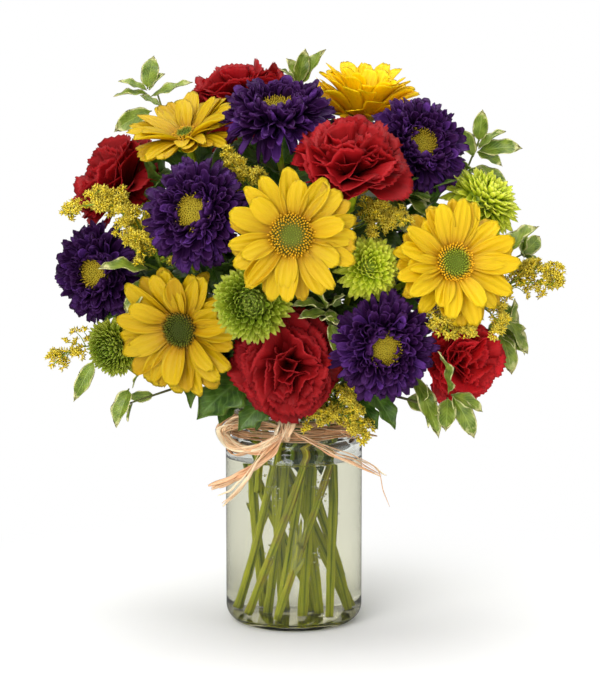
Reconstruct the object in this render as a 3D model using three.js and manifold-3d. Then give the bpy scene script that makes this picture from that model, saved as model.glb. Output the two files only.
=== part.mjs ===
// A hand-tied bunch of cut flowers standing in a clear preserving jar of water, with a raffia tie round
// the jar's neck. Chrysanthemum daisies, asters, carnations and button chrysanthemums stand on cut stems,
// with goldenrod and variegated pittosporum between them. The stems are set in a spiral, so they cross
// inside the jar. Millimetres, +Z up. The origin is the centre of the jar's flat base, and -Y is the front.
import * as THREE from "three";
import { mergeVertices } from "three/addons/utils/BufferGeometryUtils.js";
import Module from "manifold-3d";

const wasm = await Module();
wasm.setup();

// ---- Driving dimensions ----

const GAP = 0.3; // left between pieces that rest against each other

const JAR = {
  radius: 44.5,
  height: 143,
  wall: 3.2,
  floor: 5,
  base: 33.5, // radius of the flat ring that the jar stands on
  heel: 11, // radius of the rounded lower edge
  shoulder: 112, // height at which the wall turns in
  neckFoot: 123, // height at which the neck begins
  neck: 38.5, // outer radius of the neck
  bead: 1.2, // how far the rim's bead stands out
  segments: 24,
};
const WATER_LEVEL = 110;

// Two nested rings of stems. Each stem runs straight from its foot to the jar's mouth, turned by TWIST
// on the way.
const TWIST = 100; // degrees
const RINGS = {
  outer: { foot: 28, slots: 16, first: -168.75 }, // these lean against the inside of the rim
  inner: { foot: 13, slots: 6, first: -150 },
};
const MOUTH = JAR.height + 1; // height at which a stem leaves its straight run
const SHORT_FOOT = 88; // height of the cut end of a sprig that is tucked in at the mouth
const TUBE_SIDES = 6;
const TUBE_STEPS = 8; // along a main stem

// Radius of the head, how far the stem's end lies behind its origin, and the stem's own radius.
const KINDS = {
  daisy: { radius: 41, seat: 3, stem: 2.6 },
  aster: { radius: 34, seat: 9, stem: 2.3 },
  carnation: { radius: 37, seat: 9, stem: 2.1 },
  button: { radius: 25, seat: 9, stem: 1.9 },
};
const BRANCH_SHARE = 0.72; // a branch's radius, as a share of its stem's

// Where each head is, the way it faces, its radius as a share of its kind's, and how far a daisy's petals
// cup, as a share of their length.
const HEADS = {
  daisy_1: { kind: "daisy", at: [-1, -121, 264], face: [0, -1, 0.12], share: 1, cup: 0.14 },
  daisy_2: { kind: "daisy", at: [98, -78, 243], face: [0.28, -0.92, 0.24], share: 1, cup: 0.18 },
  daisy_3: { kind: "daisy", at: [-67, -67, 205], face: [-0.42, -0.88, -0.1], share: 1, cup: 0.34 },
  daisy_4: { kind: "daisy", at: [-72, -34, 316], face: [-0.36, -0.5, 0.76], share: 0.82, cup: 0.16 },
  daisy_5: { kind: "daisy", at: [44, 14, 334], face: [0.1, -0.22, 0.97], share: 0.95, cup: 0.44 },
  daisy_6: { kind: "daisy", at: [38, 104, 278], face: [0.2, 0.9, 0.4], share: 0.95, cup: 0.16 },
  daisy_7: { kind: "daisy", at: [-92, 78, 226], face: [-0.6, 0.78, 0.1], share: 0.95, cup: 0.2 },
  aster_1: { kind: "aster", at: [-10, -46, 330], face: [-0.04, -0.46, 0.89], share: 1.02 },
  aster_2: { kind: "aster", at: [-60, -90, 275], face: [-0.35, -0.91, 0.2], share: 1 },
  aster_3: { kind: "aster", at: [77, -36, 312], face: [0.35, -0.84, 0.4], share: 0.87 },
  aster_4: { kind: "aster", at: [-121, -36, 236], face: [-0.55, -0.83, 0], share: 0.9 },
  aster_5: { kind: "aster", at: [54, -93, 193], face: [0.15, -0.98, -0.08], share: 0.95 },
  aster_6: { kind: "aster", at: [92, 72, 226], face: [0.72, 0.68, 0.1], share: 1 },
  carnation_1: { kind: "carnation", at: [37, -84, 304], face: [0.12, -0.78, 0.6], share: 1 },
  carnation_2: { kind: "carnation", at: [-6, -80, 176], face: [-0.04, -0.98, -0.1], share: 1 },
  carnation_3: { kind: "carnation", at: [-36, 12, 340], face: [-0.12, 0.05, 1], share: 0.9 },
  carnation_4: { kind: "carnation", at: [-112, 4, 290], face: [-0.75, -0.25, 0.55], share: 0.9 },
  carnation_5: { kind: "carnation", at: [106, -44, 178], face: [0.6, -0.76, -0.05], share: 0.86 },
  carnation_6: { kind: "carnation", at: [-48, 92, 292], face: [-0.35, 0.82, 0.5], share: 0.95 },
  button_1: { kind: "button", at: [-25, -105, 222], face: [-0.1, -0.99, 0.03], share: 1 },
  button_2: { kind: "button", at: [46, -80, 241], face: [0.2, -0.93, 0.25], share: 0.85 },
  button_3: { kind: "button", at: [119, -22, 278], face: [0.55, -0.4, 0.72], share: 1 },
  button_4: { kind: "button", at: [-114, -44, 186], face: [-0.55, -0.8, -0.2], share: 0.8 },
};

// Each stem: its ring and slot, the points it passes above the mouth, and the head that it carries. Slack
// keeps a stem that bends out sharply clear of the rim. A fork names a share of the stem's length and the
// head at its end, and a leaf names a share of the stem's length, the point that it reaches for, its length
// and its width.
const STEMS = {
  daisy_stem_1: {
    ring: "inner", slot: 0, via: [[-16, -22, 175]], head: "daisy_1",
    forks: [{ at: 0.62, via: [[-38, -45, 200]], head: "daisy_3" }],
    leaves: [
      { at: 0.74, to: [30, -70, 214], size: [40, 18] },
    ],
  },
  daisy_stem_2: {
    ring: "inner", slot: 3, via: [[20, 5, 190], [32, 8, 260]], head: "daisy_5",
    forks: [{ at: 0.5, via: [[55, -22, 215]], head: "daisy_2" }],
    leaves: [
      { at: 0.5, to: [72, 34, 198], size: [50, 22] },
      { at: 0.72, to: [80, 24, 282], size: [42, 20] },
    ],
  },
  daisy_stem_3: {
    ring: "outer", slot: 13, via: [[-28, 26, 185], [-42, 2, 250]], head: "daisy_4",
    forks: [
      { at: 0.5, via: [[-48, 42, 198]], head: "daisy_7" },
      { at: 0.52, via: [[2, 38, 226]], head: "daisy_6" },
    ],
    leaves: [
      { at: 0.47, to: [-40, 80, 186], size: [52, 24] },
    ],
  },
  aster_stem_1: {
    ring: "outer", slot: 1, via: [[-40, -30, 190]], head: "aster_2",
    forks: [{ at: 0.6, via: [[-75, -28, 200]], head: "aster_4" }],
  },
  aster_stem_2: {
    ring: "inner", slot: 4, via: [[2, 8, 200], [-2, -8, 270]], head: "aster_1",
    forks: [{ at: 0.55, via: [[40, -12, 245]], head: "aster_3" }],
  },
  aster_stem_3: { ring: "outer", slot: 5, via: [[30, -42, 170]], head: "aster_5", forks: [] },
  aster_stem_4: { ring: "outer", slot: 10, slack: 0.7, via: [[42, 36, 180]], head: "aster_6", forks: [] },
  carnation_stem_1: { ring: "inner", slot: 1, via: [[12, -20, 190]], head: "carnation_1", forks: [] },
  carnation_stem_2: { ring: "outer", slot: 3, via: [[-6, -40, 165]], head: "carnation_2", forks: [] },
  carnation_stem_3: { ring: "inner", slot: 5, via: [[-18, 10, 200]], head: "carnation_3", forks: [] },
  carnation_stem_4: { ring: "outer", slot: 15, via: [[-52, 14, 200]], head: "carnation_4", forks: [] },
  carnation_stem_5: { ring: "outer", slot: 7, via: [[46, -18, 163]], head: "carnation_5", forks: [] },
  carnation_stem_6: { ring: "outer", slot: 12, via: [[-24, 50, 200]], head: "carnation_6", forks: [] },
  button_stem_1: {
    ring: "outer", slot: 2, foot: SHORT_FOOT, via: [[-24, -44, 172]], head: "button_1",
    forks: [{ at: 0.5, via: [[-62, -40, 178]], head: "button_4" }],
    leaves: [{ at: 0.42, to: [-54, -76, 154], size: [46, 24] }],
  },
  button_stem_2: {
    ring: "inner", slot: 2, via: [[24, -22, 180]], head: "button_2",
    forks: [{ at: 0.45, via: [[58, -16, 215]], head: "button_3" }],
  },
};

// Raffia: turns round the neck, then a bow loop and loose tails that start at the knot.
const RAFFIA = {
  segments: 24,
  thickness: 1.3,
  knotAt: [-6, -44.5, 131],
  knot: [7, 4.4, 6.5],
  turns: [
    { foot: 123.8, width: 6.6, thickness: 2.5, waves: 3 },
    { foot: 129.4, width: 6.4, thickness: 2.9, waves: 4 },
  ],
  strips: [
    {
      width: 5, // the bow loop
      points: [
        [-6, -46, 132], [-22, -47, 134], [-40, -38, 130], [-46, -28, 122],
        [-36, -41, 118], [-20, -49, 122], [-7, -47, 130],
      ],
    },
    {
      width: 4, // the upper left tail
      points: [[-6, -47, 131], [-12, -50, 122], [-26, -52, 110], [-40, -52, 103], [-54, -50, 97]],
    },
    {
      width: 3, // the lower left tail
      points: [[-8, -47, 130], [-20, -51, 119], [-30, -54, 104], [-38, -53, 94], [-46, -50, 86]],
    },
    {
      width: 4, // the right tail
      points: [[-4, -47, 132], [6, -49, 128], [22, -49, 122], [42, -46, 112], [60, -41, 103]],
    },
  ],
};

// Goldenrod: a thin stem, and plumes that run from a point on a side branch to its tip. A branch leaves
// the stem at a share of its length.
const GOLDENROD = { stem: 1.5, twig: 1 };
const GOLDENRODS = {
  goldenrod_1: {
    ring: "outer", slot: 0, via: [[-50, -12, 175], [-78, -28, 225], [-98, -44, 266]],
    plumes: [
      { at: 0.86, from: [-98, -44, 266], to: [-122, -54, 290], radius: 8 },
      { at: 0.86, from: [-84, -42, 240], to: [-92, -66, 262], radius: 8 },
      { at: 0.9, from: [-106, -46, 272], to: [-144, -42, 276], radius: 8 },
      { at: 0.5, from: [-130, -20, 184], to: [-152, -38, 178], radius: 7 },
    ],
  },
  goldenrod_2: {
    ring: "outer", slot: 8, slack: 1, via: [[56, -6, 168], [88, -28, 202], [116, -38, 216]],
    plumes: [
      { at: 0.86, from: [124, -42, 219], to: [166, -44, 230], radius: 8 },
      { at: 0.86, from: [112, -58, 214], to: [90, -94, 207], radius: 8 },
    ],
  },
  goldenrod_3: {
    ring: "outer", slot: 4, via: [[6, -46, 172], [4, -48, 225], [4, -54, 262]],
    plumes: [
      { at: 0.44, from: [24, -58, 158], to: [38, -72, 140], radius: 8 },
      { at: 0.9, from: [44, -68, 266], to: [68, -88, 272], radius: 6 },
      { at: 0.92, from: [-24, -62, 284], to: [-38, -66, 306], radius: 6 },
    ],
  },
};

// Pittosporum: a woody stem that forks into twigs, with leaves up each twig's outer part and one at its
// tip. The leaf is its length and width.
const PITTOSPORUM = { stem: 1.8, twig: 1.1, leaf: [30, 14], leaves: 5 };
const PITTOSPORUMS = {
  pittosporum_1: {
    ring: "outer", slot: 14,
    twigs: [
      [[-30, 20, 162], [-62, 16, 262], [-88, 6, 345]],
      [[-30, 20, 162], [-54, 4, 160], [-106, -44, 150]],
      [[-30, 20, 162], [-74, 34, 184], [-112, 52, 172]],
    ],
  },
  pittosporum_2: {
    ring: "outer", slot: 11, slack: 0,
    twigs: [
      [[8, 34, 175], [6, 34, 270], [2, 26, 358]],
      [[8, 34, 175], [22, 78, 208], [10, 122, 214]],
      [[8, 34, 175], [-14, 72, 185], [-42, 102, 176]],
    ],
  },
  pittosporum_3: {
    ring: "outer", slot: 9,
    twigs: [
      [[46, 14, 175], [92, 8, 250], [120, -4, 318]],
      [[46, 14, 175], [108, -2, 220], [146, -26, 244]],
      [[46, 14, 175], [100, 6, 188], [132, -30, 196]],
      [[46, 14, 175], [80, 44, 180], [106, 62, 168]],
    ],
  },
  pittosporum_4: {
    ring: "outer", slot: 6, slack: 0.6,
    twigs: [
      [[38, -30, 160], [66, -52, 156], [94, -66, 150]],
      [[38, -30, 160], [30, -58, 175], [24, -84, 212]],
    ],
  },
};

// ---- Shapes ----

const vector = (point) => new THREE.Vector3(...point);
const around = (degrees, radius, z) => {
  const turn = THREE.MathUtils.degToRad(degrees);
  return new THREE.Vector3(radius * Math.cos(turn), radius * Math.sin(turn), z);
};

// A solid turned about +Z. The outline runs [radius, height] from the axis at the foot, out, up and back to
// the axis, or closes on itself.
function turned(outline, segments) {
  const points = outline.map(([radius, height]) => new THREE.Vector2(radius, height));
  return new THREE.LatheGeometry(points, segments).rotateX(Math.PI / 2);
}

// Moves every vertex of a turned solid outwards and upwards by what ruffle says for its radius and angle.
function ruffled(geometry, ruffle) {
  const position = geometry.getAttribute("position");
  for (let i = 0; i < position.count; i += 1) {
    const [x, y, z] = [position.getX(i), position.getY(i), position.getZ(i)];
    const [scale, lift] = ruffle(Math.hypot(x, y), Math.atan2(y, x));
    position.setXYZ(i, x * scale, y * scale, z + lift);
  }
  return geometry;
}

// A tube of a regular section along a smooth curve through the points.
function tube(curve, radius, steps) {
  const section = new THREE.Shape(
    Array.from({ length: TUBE_SIDES }, (_, i) => {
      const turn = (2 * Math.PI * i) / TUBE_SIDES;
      return new THREE.Vector2(radius * Math.cos(turn), radius * Math.sin(turn));
    }),
  );
  return new THREE.ExtrudeGeometry(section, { steps, extrudePath: curve });
}

const smooth = (points) => new THREE.CatmullRomCurve3(points, false, "centripetal");

// Stands a geometry that is made along +Z at a point, facing a direction.
function stood(geometry, at, towards) {
  const turn = new THREE.Quaternion().setFromUnitVectors(
    new THREE.Vector3(0, 0, 1),
    towards.clone().normalize(),
  );
  return geometry.applyQuaternion(turn).translate(at.x, at.y, at.z);
}

// A thin leaf from its foot at a point, along a direction, with its face towards up. It has a ridge above
// and a ridge below.
function leaf(foot, along, up, length, width) {
  const stations = [[0.02, 0.1], [0.4, 0.48], [0.78, 0.38]];
  const thickness = 0.9;
  const ring = [
    ...stations.map(([t, w]) => [t * length, w * width]),
    [length, 0],
    ...stations.map(([t, w]) => [t * length, -w * width]).reverse(),
  ];
  const middle = 0.5 * length;
  const corners = [[middle, 0, thickness], [middle, 0, -thickness], ...ring.map(([x, y]) => [x, y, 0])];
  const faces = [];
  for (let i = 0; i < ring.length; i += 1) {
    const here = 2 + i;
    const next = 2 + ((i + 1) % ring.length);
    faces.push(0, next, here, 1, here, next);
  }
  const forward = along.clone().normalize();
  const side = new THREE.Vector3().crossVectors(up, forward).normalize();
  const face = new THREE.Vector3().crossVectors(forward, side);
  return new THREE.BufferGeometry()
    .setAttribute("position", new THREE.Float32BufferAttribute(corners.flat(), 3))
    .setIndex(faces)
    .applyMatrix4(new THREE.Matrix4().makeBasis(forward, side, face).setPosition(foot));
}

// ---- Solids: joining and cutting ----

function solid(geometry) {
  const bare = new THREE.BufferGeometry()
    .setAttribute("position", geometry.getAttribute("position").clone())
    .setIndex(geometry.index);
  const merged = mergeVertices(bare, 1e-4);
  const vertProperties = new Float32Array(merged.getAttribute("position").array);
  const triVerts = new Uint32Array(merged.index.array);
  const made = new wasm.Manifold(new wasm.Mesh({ numProp: 3, vertProperties, triVerts }));
  if (made.volume() > 0) return made;
  for (let i = 0; i < triVerts.length; i += 3) {
    [triVerts[i + 1], triVerts[i + 2]] = [triVerts[i + 2], triVerts[i + 1]];
  }
  return new wasm.Manifold(new wasm.Mesh({ numProp: 3, vertProperties, triVerts }));
}

const joined = (solids) => solids.reduce((all, one) => all.add(one));

function geometryOf(made) {
  const mesh = made.getMesh();
  const corners = new Float32Array(mesh.numVert * 3);
  for (let i = 0; i < mesh.numVert; i += 1) {
    corners.set(mesh.vertProperties.subarray(i * mesh.numProp, i * mesh.numProp + 3), i * 3);
  }
  return new THREE.BufferGeometry()
    .setAttribute("position", new THREE.BufferAttribute(corners, 3))
    .setIndex(new THREE.BufferAttribute(mesh.triVerts, 1));
}

// ---- The bunch as a scene ----

const bouquet = new THREE.Group();
const filled = []; // solids of what is already in place, so that a leaf grows only where there is room

function finish(colour, roughness, extra = {}) {
  return new THREE.MeshStandardMaterial({ color: colour, roughness, metalness: 0, ...extra });
}

const FINISHES = {
  glass: finish("#dfe9e4", 0.05, { transparent: true, opacity: 0.35 }),
  water: finish("#e6efe6", 0.02, { transparent: true, opacity: 0.3 }),
  raffia: finish("#d6a678", 0.8),
  yellow: finish("#f2c60d", 0.6),
  eye: finish("#7a9330", 0.8),
  purple: finish("#3a1f72", 0.6),
  red: finish("#b3121c", 0.6),
  lime: finish("#9dbf2e", 0.7),
  gold: finish("#dfc21c", 0.8),
  stem: finish("#6f9423", 0.5),
  leaf: finish("#6c8f45", 0.55),
};

function add(name, geometry, material) {
  const mesh = new THREE.Mesh(geometry, material);
  mesh.name = name;
  bouquet.add(mesh);
  filled.push(solid(geometry));
}

// ---- Jar and water ----

function arc(centreRadius, centreHeight, radius, from, to, steps) {
  return Array.from({ length: steps + 1 }, (_, i) => {
    const turn = THREE.MathUtils.degToRad(from + ((to - from) * i) / steps);
    return [centreRadius + radius * Math.cos(turn), centreHeight + radius * Math.sin(turn)];
  });
}

// The jar's inner wall from the floor's centre to a height below the shoulder, kept back by a gap.
function innerWall(top, gap) {
  const radius = JAR.radius - JAR.wall - gap;
  const heel = JAR.heel - JAR.wall;
  return [
    [0, JAR.floor + gap],
    ...arc(radius - heel, JAR.floor + gap + heel, heel, -90, 0, 3),
    [radius, top],
  ];
}

function jarOutline() {
  const inner = JAR.neck - JAR.wall;
  const outside = [
    [0, 0],
    ...arc(JAR.base, JAR.heel, JAR.heel, -90, 0, 4),
    [JAR.radius, JAR.shoulder],
    [JAR.radius - 1.4, JAR.shoulder + 5],
    [JAR.neck, JAR.neckFoot],
    [JAR.neck, JAR.height - 5],
    [JAR.neck + JAR.bead, JAR.height - 4],
    [JAR.neck + JAR.bead, JAR.height - 1],
    [JAR.neck, JAR.height],
  ];
  const inside = [
    [inner, JAR.height],
    [inner, JAR.neckFoot],
    ...innerWall(JAR.shoulder, 0).reverse(),
  ];
  return [...outside, ...inside];
}

add("jar", turned(jarOutline(), JAR.segments), FINISHES.glass);

// ---- Raffia: one hank of dried strips wound round the neck and tied at the front ----

// A flat strip along a smooth curve.
function strip(points, width, thickness, steps) {
  const half = [thickness / 2, width / 2];
  const section = new THREE.Shape([
    new THREE.Vector2(-half[0], -half[1]),
    new THREE.Vector2(half[0], -half[1]),
    new THREE.Vector2(half[0], half[1]),
    new THREE.Vector2(-half[0], half[1]),
  ]);
  return new THREE.ExtrudeGeometry(section, { steps, extrudePath: smooth(points.map(vector)) });
}

// One turn of the hank round the neck: a closed ring that rises and falls a little as it goes round.
function windingTurn({ foot, width, thickness, waves }) {
  const inner = JAR.neck + GAP;
  const outline = [
    [inner, foot],
    [inner + thickness, foot + 0.3 * width],
    [inner + thickness, foot + 0.7 * width],
    [inner, foot + width],
    [inner, foot],
  ];
  return ruffled(turned(outline, RAFFIA.segments), (r, turn) => [1, 0.9 * Math.sin(waves * turn)]);
}

function knot() {
  const ball = new THREE.SphereGeometry(1, 8, 6);
  return ball.scale(...RAFFIA.knot).translate(...RAFFIA.knotAt);
}

add(
  "raffia_tie",
  geometryOf(
    joined([
      ...RAFFIA.turns.map((one) => solid(windingTurn(one))),
      solid(knot()),
      ...RAFFIA.strips.map(({ points, width }) => solid(strip(points, width, RAFFIA.thickness, 7))),
    ]),
  ),
  FINISHES.raffia,
);

// ---- Heads: each is made facing +Z about its own origin ----

// Rays of a daisy: a shallow cup with a lobe for each petal.
function daisyRays(radius, share) {
  const lobes = 12;
  const cup = share * radius;
  const outline = [
    [0, -2.4],
    [0.28 * radius, -2.2],
    [0.6 * radius, 0.35 * cup - 1.5],
    [radius, cup - 0.8],
    [radius, cup],
    [0.6 * radius, 0.35 * cup],
    [0.28 * radius, 0],
    [0, 0],
  ];
  return ruffled(turned(outline, 2 * lobes), (r, turn) => {
    const share = Math.max(0, r / radius - 0.5) / 0.5;
    return [1 - 0.16 * share * (0.5 - 0.5 * Math.cos(lobes * turn)), 0];
  });
}

// Eye of a daisy: the domed disc of small florets at its centre.
const daisyEye = (radius) =>
  turned([[0, GAP], [0.27 * radius, GAP], [0.27 * radius, 3], [0.17 * radius, 5.4], [0, 6.2]], 12);

// Aster: a thick double head with a shallow well at its centre.
function asterHead(radius) {
  const petals = 10;
  const outline = [
    [0, -8.6],
    [0.45 * radius, -8.6],
    [0.98 * radius, -1],
    [radius, 3.5],
    [0.72 * radius, 9],
    [0.34 * radius, 7.5],
    [0, 7],
  ];
  return ruffled(turned(outline, 2 * petals), (r, turn) => {
    const share = r / radius;
    return [1 - 0.06 * share * (0.5 - 0.5 * Math.cos(petals * turn)), 0];
  });
}

// Carnation: a ruffled dome.
function carnationHead(radius) {
  const frills = 8;
  const outline = [
    [0, -8.6],
    [0.28 * radius, -8.6],
    [0.8 * radius, -3],
    [radius, 4],
    [0.92 * radius, 12],
    [0.55 * radius, 19],
    [0, 21],
  ];
  return ruffled(turned(outline, 2 * frills), (r, turn) => {
    const share = (r / radius) ** 2;
    const frill = Math.cos(frills * turn);
    return [1 - 0.08 * share * (0.5 - 0.5 * frill), 0.8 * share * frill];
  });
}

// Button chrysanthemum: a flattened ball.
const buttonHead = (radius) =>
  turned(
    [
      [0, -8.6],
      [0.4 * radius, -8.6],
      [0.9 * radius, -4],
      [radius, 2],
      [0.85 * radius, 9],
      [0.45 * radius, 14],
      [0, 15.5],
    ],
    14,
  );

const SHAPES = {
  daisy: { make: daisyRays, suffix: "_rays", finish: FINISHES.yellow },
  aster: { make: asterHead, suffix: "_head", finish: FINISHES.purple },
  carnation: { make: carnationHead, suffix: "_bloom", finish: FINISHES.red },
  button: { make: buttonHead, suffix: "_head", finish: FINISHES.lime },
};

for (const [name, head] of Object.entries(HEADS)) {
  const radius = KINDS[head.kind].radius * head.share;
  const shape = SHAPES[head.kind];
  const place = (geometry) => stood(geometry, vector(head.at), vector(head.face));
  add(name + shape.suffix, place(shape.make(radius, head.cup)), shape.finish);
  if (head.kind === "daisy") add(name + "_eye", place(daisyEye(radius)), FINISHES.eye);
}

// ---- Stems ----

// The straight run of a slot: a point at a height on the line from its foot to its place in the mouth.
function ruling({ ring, slot, slack = 0.3 }, radius, height) {
  const { foot: reach, slots, first } = RINGS[ring];
  const azimuth = first + (360 / slots) * slot;
  const leaning = JAR.neck - JAR.wall - GAP - 1.1 * radius - slack;
  const foot = around(azimuth - TWIST, reach, JAR.floor);
  const mouth = around(azimuth, ring === "outer" ? leaning : reach, MOUTH);
  return foot.lerp(mouth, (height - JAR.floor) / (MOUTH - JAR.floor));
}

// A stem's lower points. A tilted cut end reaches a little below its centre, which tip allows for.
function lowerPoints(plan, radius, drop = 0) {
  const tip = (plan.ring === "outer" ? 0.36 : 0.18) * radius;
  const bottom = (plan.foot ?? JAR.floor + GAP + tip) - drop;
  return [bottom, (bottom + MOUTH) / 2, MOUTH].map((height) => ruling(plan, radius, height));
}

// The end of a stem behind a head, and the point before it that brings the stem in square to the head.
function seatPoints(name) {
  const head = HEADS[name];
  const face = vector(head.face).normalize();
  const behind = (distance) => vector(head.at).addScaledVector(face, -distance);
  const seat = KINDS[head.kind].seat;
  return [behind(seat + 24), behind(seat + GAP)];
}

// What holds the petals at a stem's end: a shallow green cup, or a carnation's long calyx.
function cupAt(name) {
  const head = HEADS[name];
  const share = head.share;
  const sizes = {
    daisy: [9 * share, 3.2, 5],
    aster: [10 * share, 3, 5],
    carnation: [7.5 * share, 4, 20],
    button: [8 * share, 2.6, 4],
  };
  const [top, bottom, length] = sizes[head.kind];
  const cup = new THREE.CylinderGeometry(top, bottom, length, 8).rotateX(Math.PI / 2);
  const centre = seatPoints(name)[1].addScaledVector(vector(head.face).normalize(), -length / 2);
  return stood(cup, centre, vector(head.face));
}

const channels = []; // what the water leaves free for each stem that stands in it

function openChannel(plan, radius, extraPoints) {
  const wider = radius + GAP / Math.cos(Math.PI / TUBE_SIDES);
  const points = [...lowerPoints(plan, radius, GAP + 0.2), ...extraPoints];
  channels.push(solid(tube(smooth(points), wider, TUBE_STEPS)));
}

for (const [name, plan] of Object.entries(STEMS)) {
  const { kind } = HEADS[plan.head];
  const radius = KINDS[kind].stem;
  const upper = [...plan.via.map(vector), ...seatPoints(plan.head)];
  const main = smooth([...lowerPoints(plan, radius), ...upper]);
  const pieces = [solid(tube(main, radius, TUBE_STEPS)), solid(cupAt(plan.head))];
  for (const fork of plan.forks) {
    const branch = smooth([main.getPointAt(fork.at), ...fork.via.map(vector), ...seatPoints(fork.head)]);
    pieces.push(solid(tube(branch, radius * BRANCH_SHARE, 5)), solid(cupAt(fork.head)));
  }
  for (const { at, to, size } of plan.leaves ?? []) {
    const foot = main.getPointAt(at);
    pieces.push(solid(leaf(foot, vector(to).sub(foot), main.getTangentAt(at), ...size)));
  }
  add(name, geometryOf(joined(pieces)), FINISHES.stem);
  openChannel(plan, radius, upper);
}

// ---- Goldenrod ----

const hasRoom = (made) => filled.every((other) => made.minGap(other, GAP) >= GAP);

function plume(from, to, radius) {
  const length = from.distanceTo(to);
  const outline = [
    [0, 0],
    [0.8 * radius, 0.2 * length],
    [radius, 0.5 * length],
    [0.6 * radius, 0.85 * length],
    [0, length],
  ];
  return stood(turned(outline, 7), from, to.clone().sub(from));
}

for (const [name, plan] of Object.entries(GOLDENRODS)) {
  const place = { ...plan, foot: SHORT_FOOT };
  const main = smooth([...lowerPoints(place, GOLDENROD.stem), ...plan.via.map(vector)]);
  const pieces = [solid(tube(main, GOLDENROD.stem, TUBE_STEPS))];
  for (const { at, from, to, radius } of plan.plumes) {
    const [start, tip] = [vector(from), vector(to)];
    const near = main.getPointAt(at);
    const twig = smooth([near, start.clone().lerp(near, 0.4), start, start.clone().lerp(tip, 0.5)]);
    pieces.push(solid(tube(twig, GOLDENROD.twig, 4)));
    pieces.push(solid(plume(start, tip, radius)));
  }
  add(name, geometryOf(joined(pieces)), FINISHES.gold);
  openChannel(place, GOLDENROD.stem, plan.via.map(vector));
}

// ---- Pittosporum ----

// Leaves go up a twig in turn, each a golden angle round from the last, and one ends it.
function leavesOn(twig) {
  const [length, width] = PITTOSPORUM.leaf;
  const up = new THREE.Vector3(0, 0, 1);
  return Array.from({ length: PITTOSPORUM.leaves }, (_, i) => {
    const last = i === PITTOSPORUM.leaves - 1;
    const t = last ? 0.98 : 0.5 + (0.42 * i) / (PITTOSPORUM.leaves - 2);
    const ahead = twig.getTangentAt(t);
    const out = new THREE.Vector3().crossVectors(ahead, up).normalize();
    out.applyAxisAngle(ahead, THREE.MathUtils.degToRad(137.5 * i + 20));
    const along = last ? ahead : ahead.clone().multiplyScalar(0.7).add(out);
    return solid(leaf(twig.getPointAt(t), along, last ? out : ahead, length, width));
  });
}

for (const [name, plan] of Object.entries(PITTOSPORUMS)) {
  const place = { ...plan, foot: SHORT_FOOT };
  const crotch = vector(plan.twigs[0][0]);
  const main = smooth([...lowerPoints(place, PITTOSPORUM.stem), crotch]);
  const pieces = [solid(tube(main, PITTOSPORUM.stem, 5))];
  for (const points of plan.twigs) {
    const twig = smooth(points.map(vector));
    pieces.push(solid(tube(twig, PITTOSPORUM.twig, 6)));
    pieces.push(...leavesOn(twig).filter(hasRoom));
  }
  add(name, geometryOf(joined(pieces)), FINISHES.leaf);
  openChannel(place, PITTOSPORUM.stem, [crotch]);
}

// ---- Water: it fills the jar round the stems ----

const whole = solid(turned([...innerWall(WATER_LEVEL, GAP), [0, WATER_LEVEL]], JAR.segments));
const water = channels.reduce((left, channel) => left.subtract(channel), whole);
add("water", geometryOf(water), FINISHES.water);

export default bouquet;
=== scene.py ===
import math
from collections import namedtuple
from functools import cache

import bpy
import numpy as np
from bpy.props import FloatProperty, IntProperty, PointerProperty
from mathutils import Matrix, Vector


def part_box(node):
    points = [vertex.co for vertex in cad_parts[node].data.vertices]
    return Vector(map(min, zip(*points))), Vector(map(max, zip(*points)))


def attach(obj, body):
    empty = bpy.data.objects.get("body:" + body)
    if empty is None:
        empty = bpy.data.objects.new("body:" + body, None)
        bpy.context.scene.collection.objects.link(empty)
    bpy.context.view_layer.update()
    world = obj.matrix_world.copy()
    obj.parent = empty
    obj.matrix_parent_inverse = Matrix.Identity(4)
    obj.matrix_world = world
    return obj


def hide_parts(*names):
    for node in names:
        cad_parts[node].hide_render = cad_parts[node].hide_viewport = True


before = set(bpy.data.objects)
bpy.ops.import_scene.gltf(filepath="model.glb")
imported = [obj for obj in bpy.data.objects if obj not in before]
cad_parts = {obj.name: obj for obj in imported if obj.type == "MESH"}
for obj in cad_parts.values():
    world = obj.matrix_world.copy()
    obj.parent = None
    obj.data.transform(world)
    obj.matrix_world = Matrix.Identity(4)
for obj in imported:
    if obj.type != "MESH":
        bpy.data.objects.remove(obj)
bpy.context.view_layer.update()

bl_info = {
    "name": "Chrysanthemums in a Jar",
    "version": (1, 0, 0),
    "blender": (4, 5, 0),
    "location": "3D View > Sidebar > Bouquet",
    "description": "Builds a hand-tied bunch of cut flowers in a jar of water on its measured frame",
    "category": "Object",
}

# Shapes are worked out in millimetres, and a finished piece's mesh is in metres.
MM = 0.001
GAP = 0.3  # between a stem's end and its head, as in the frame
GOLDEN = math.radians(137.508)  # from each petal or leaf to the next round a stem
TURN = 6.28  # a random phase lies anywhere in a turn
PETAL_THICK = 0.35


# ---- Sheets, shells and tubes: plain shapes as arrays ----


def unit(vectors):
    return vectors / np.maximum(np.linalg.norm(vectors, axis=-1, keepdims=True), 1e-9)


def floats(points):
    return np.array(points, float)


def moved(points, matrix):
    return points @ np.array(matrix.to_3x3()).T + np.array(matrix.translation)


def circle(sides):
    turn = np.linspace(0, 2 * np.pi, sides, endpoint=False)
    return np.stack([np.cos(turn), np.sin(turn)], 1)


def run_of(path):
    """How far each point of a path is from its start, along it."""
    return np.concatenate([[0], np.cumsum(np.linalg.norm(np.diff(path, axis=0), axis=1))])


def tangents(path):
    return unit(np.gradient(path, axis=0))


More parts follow.
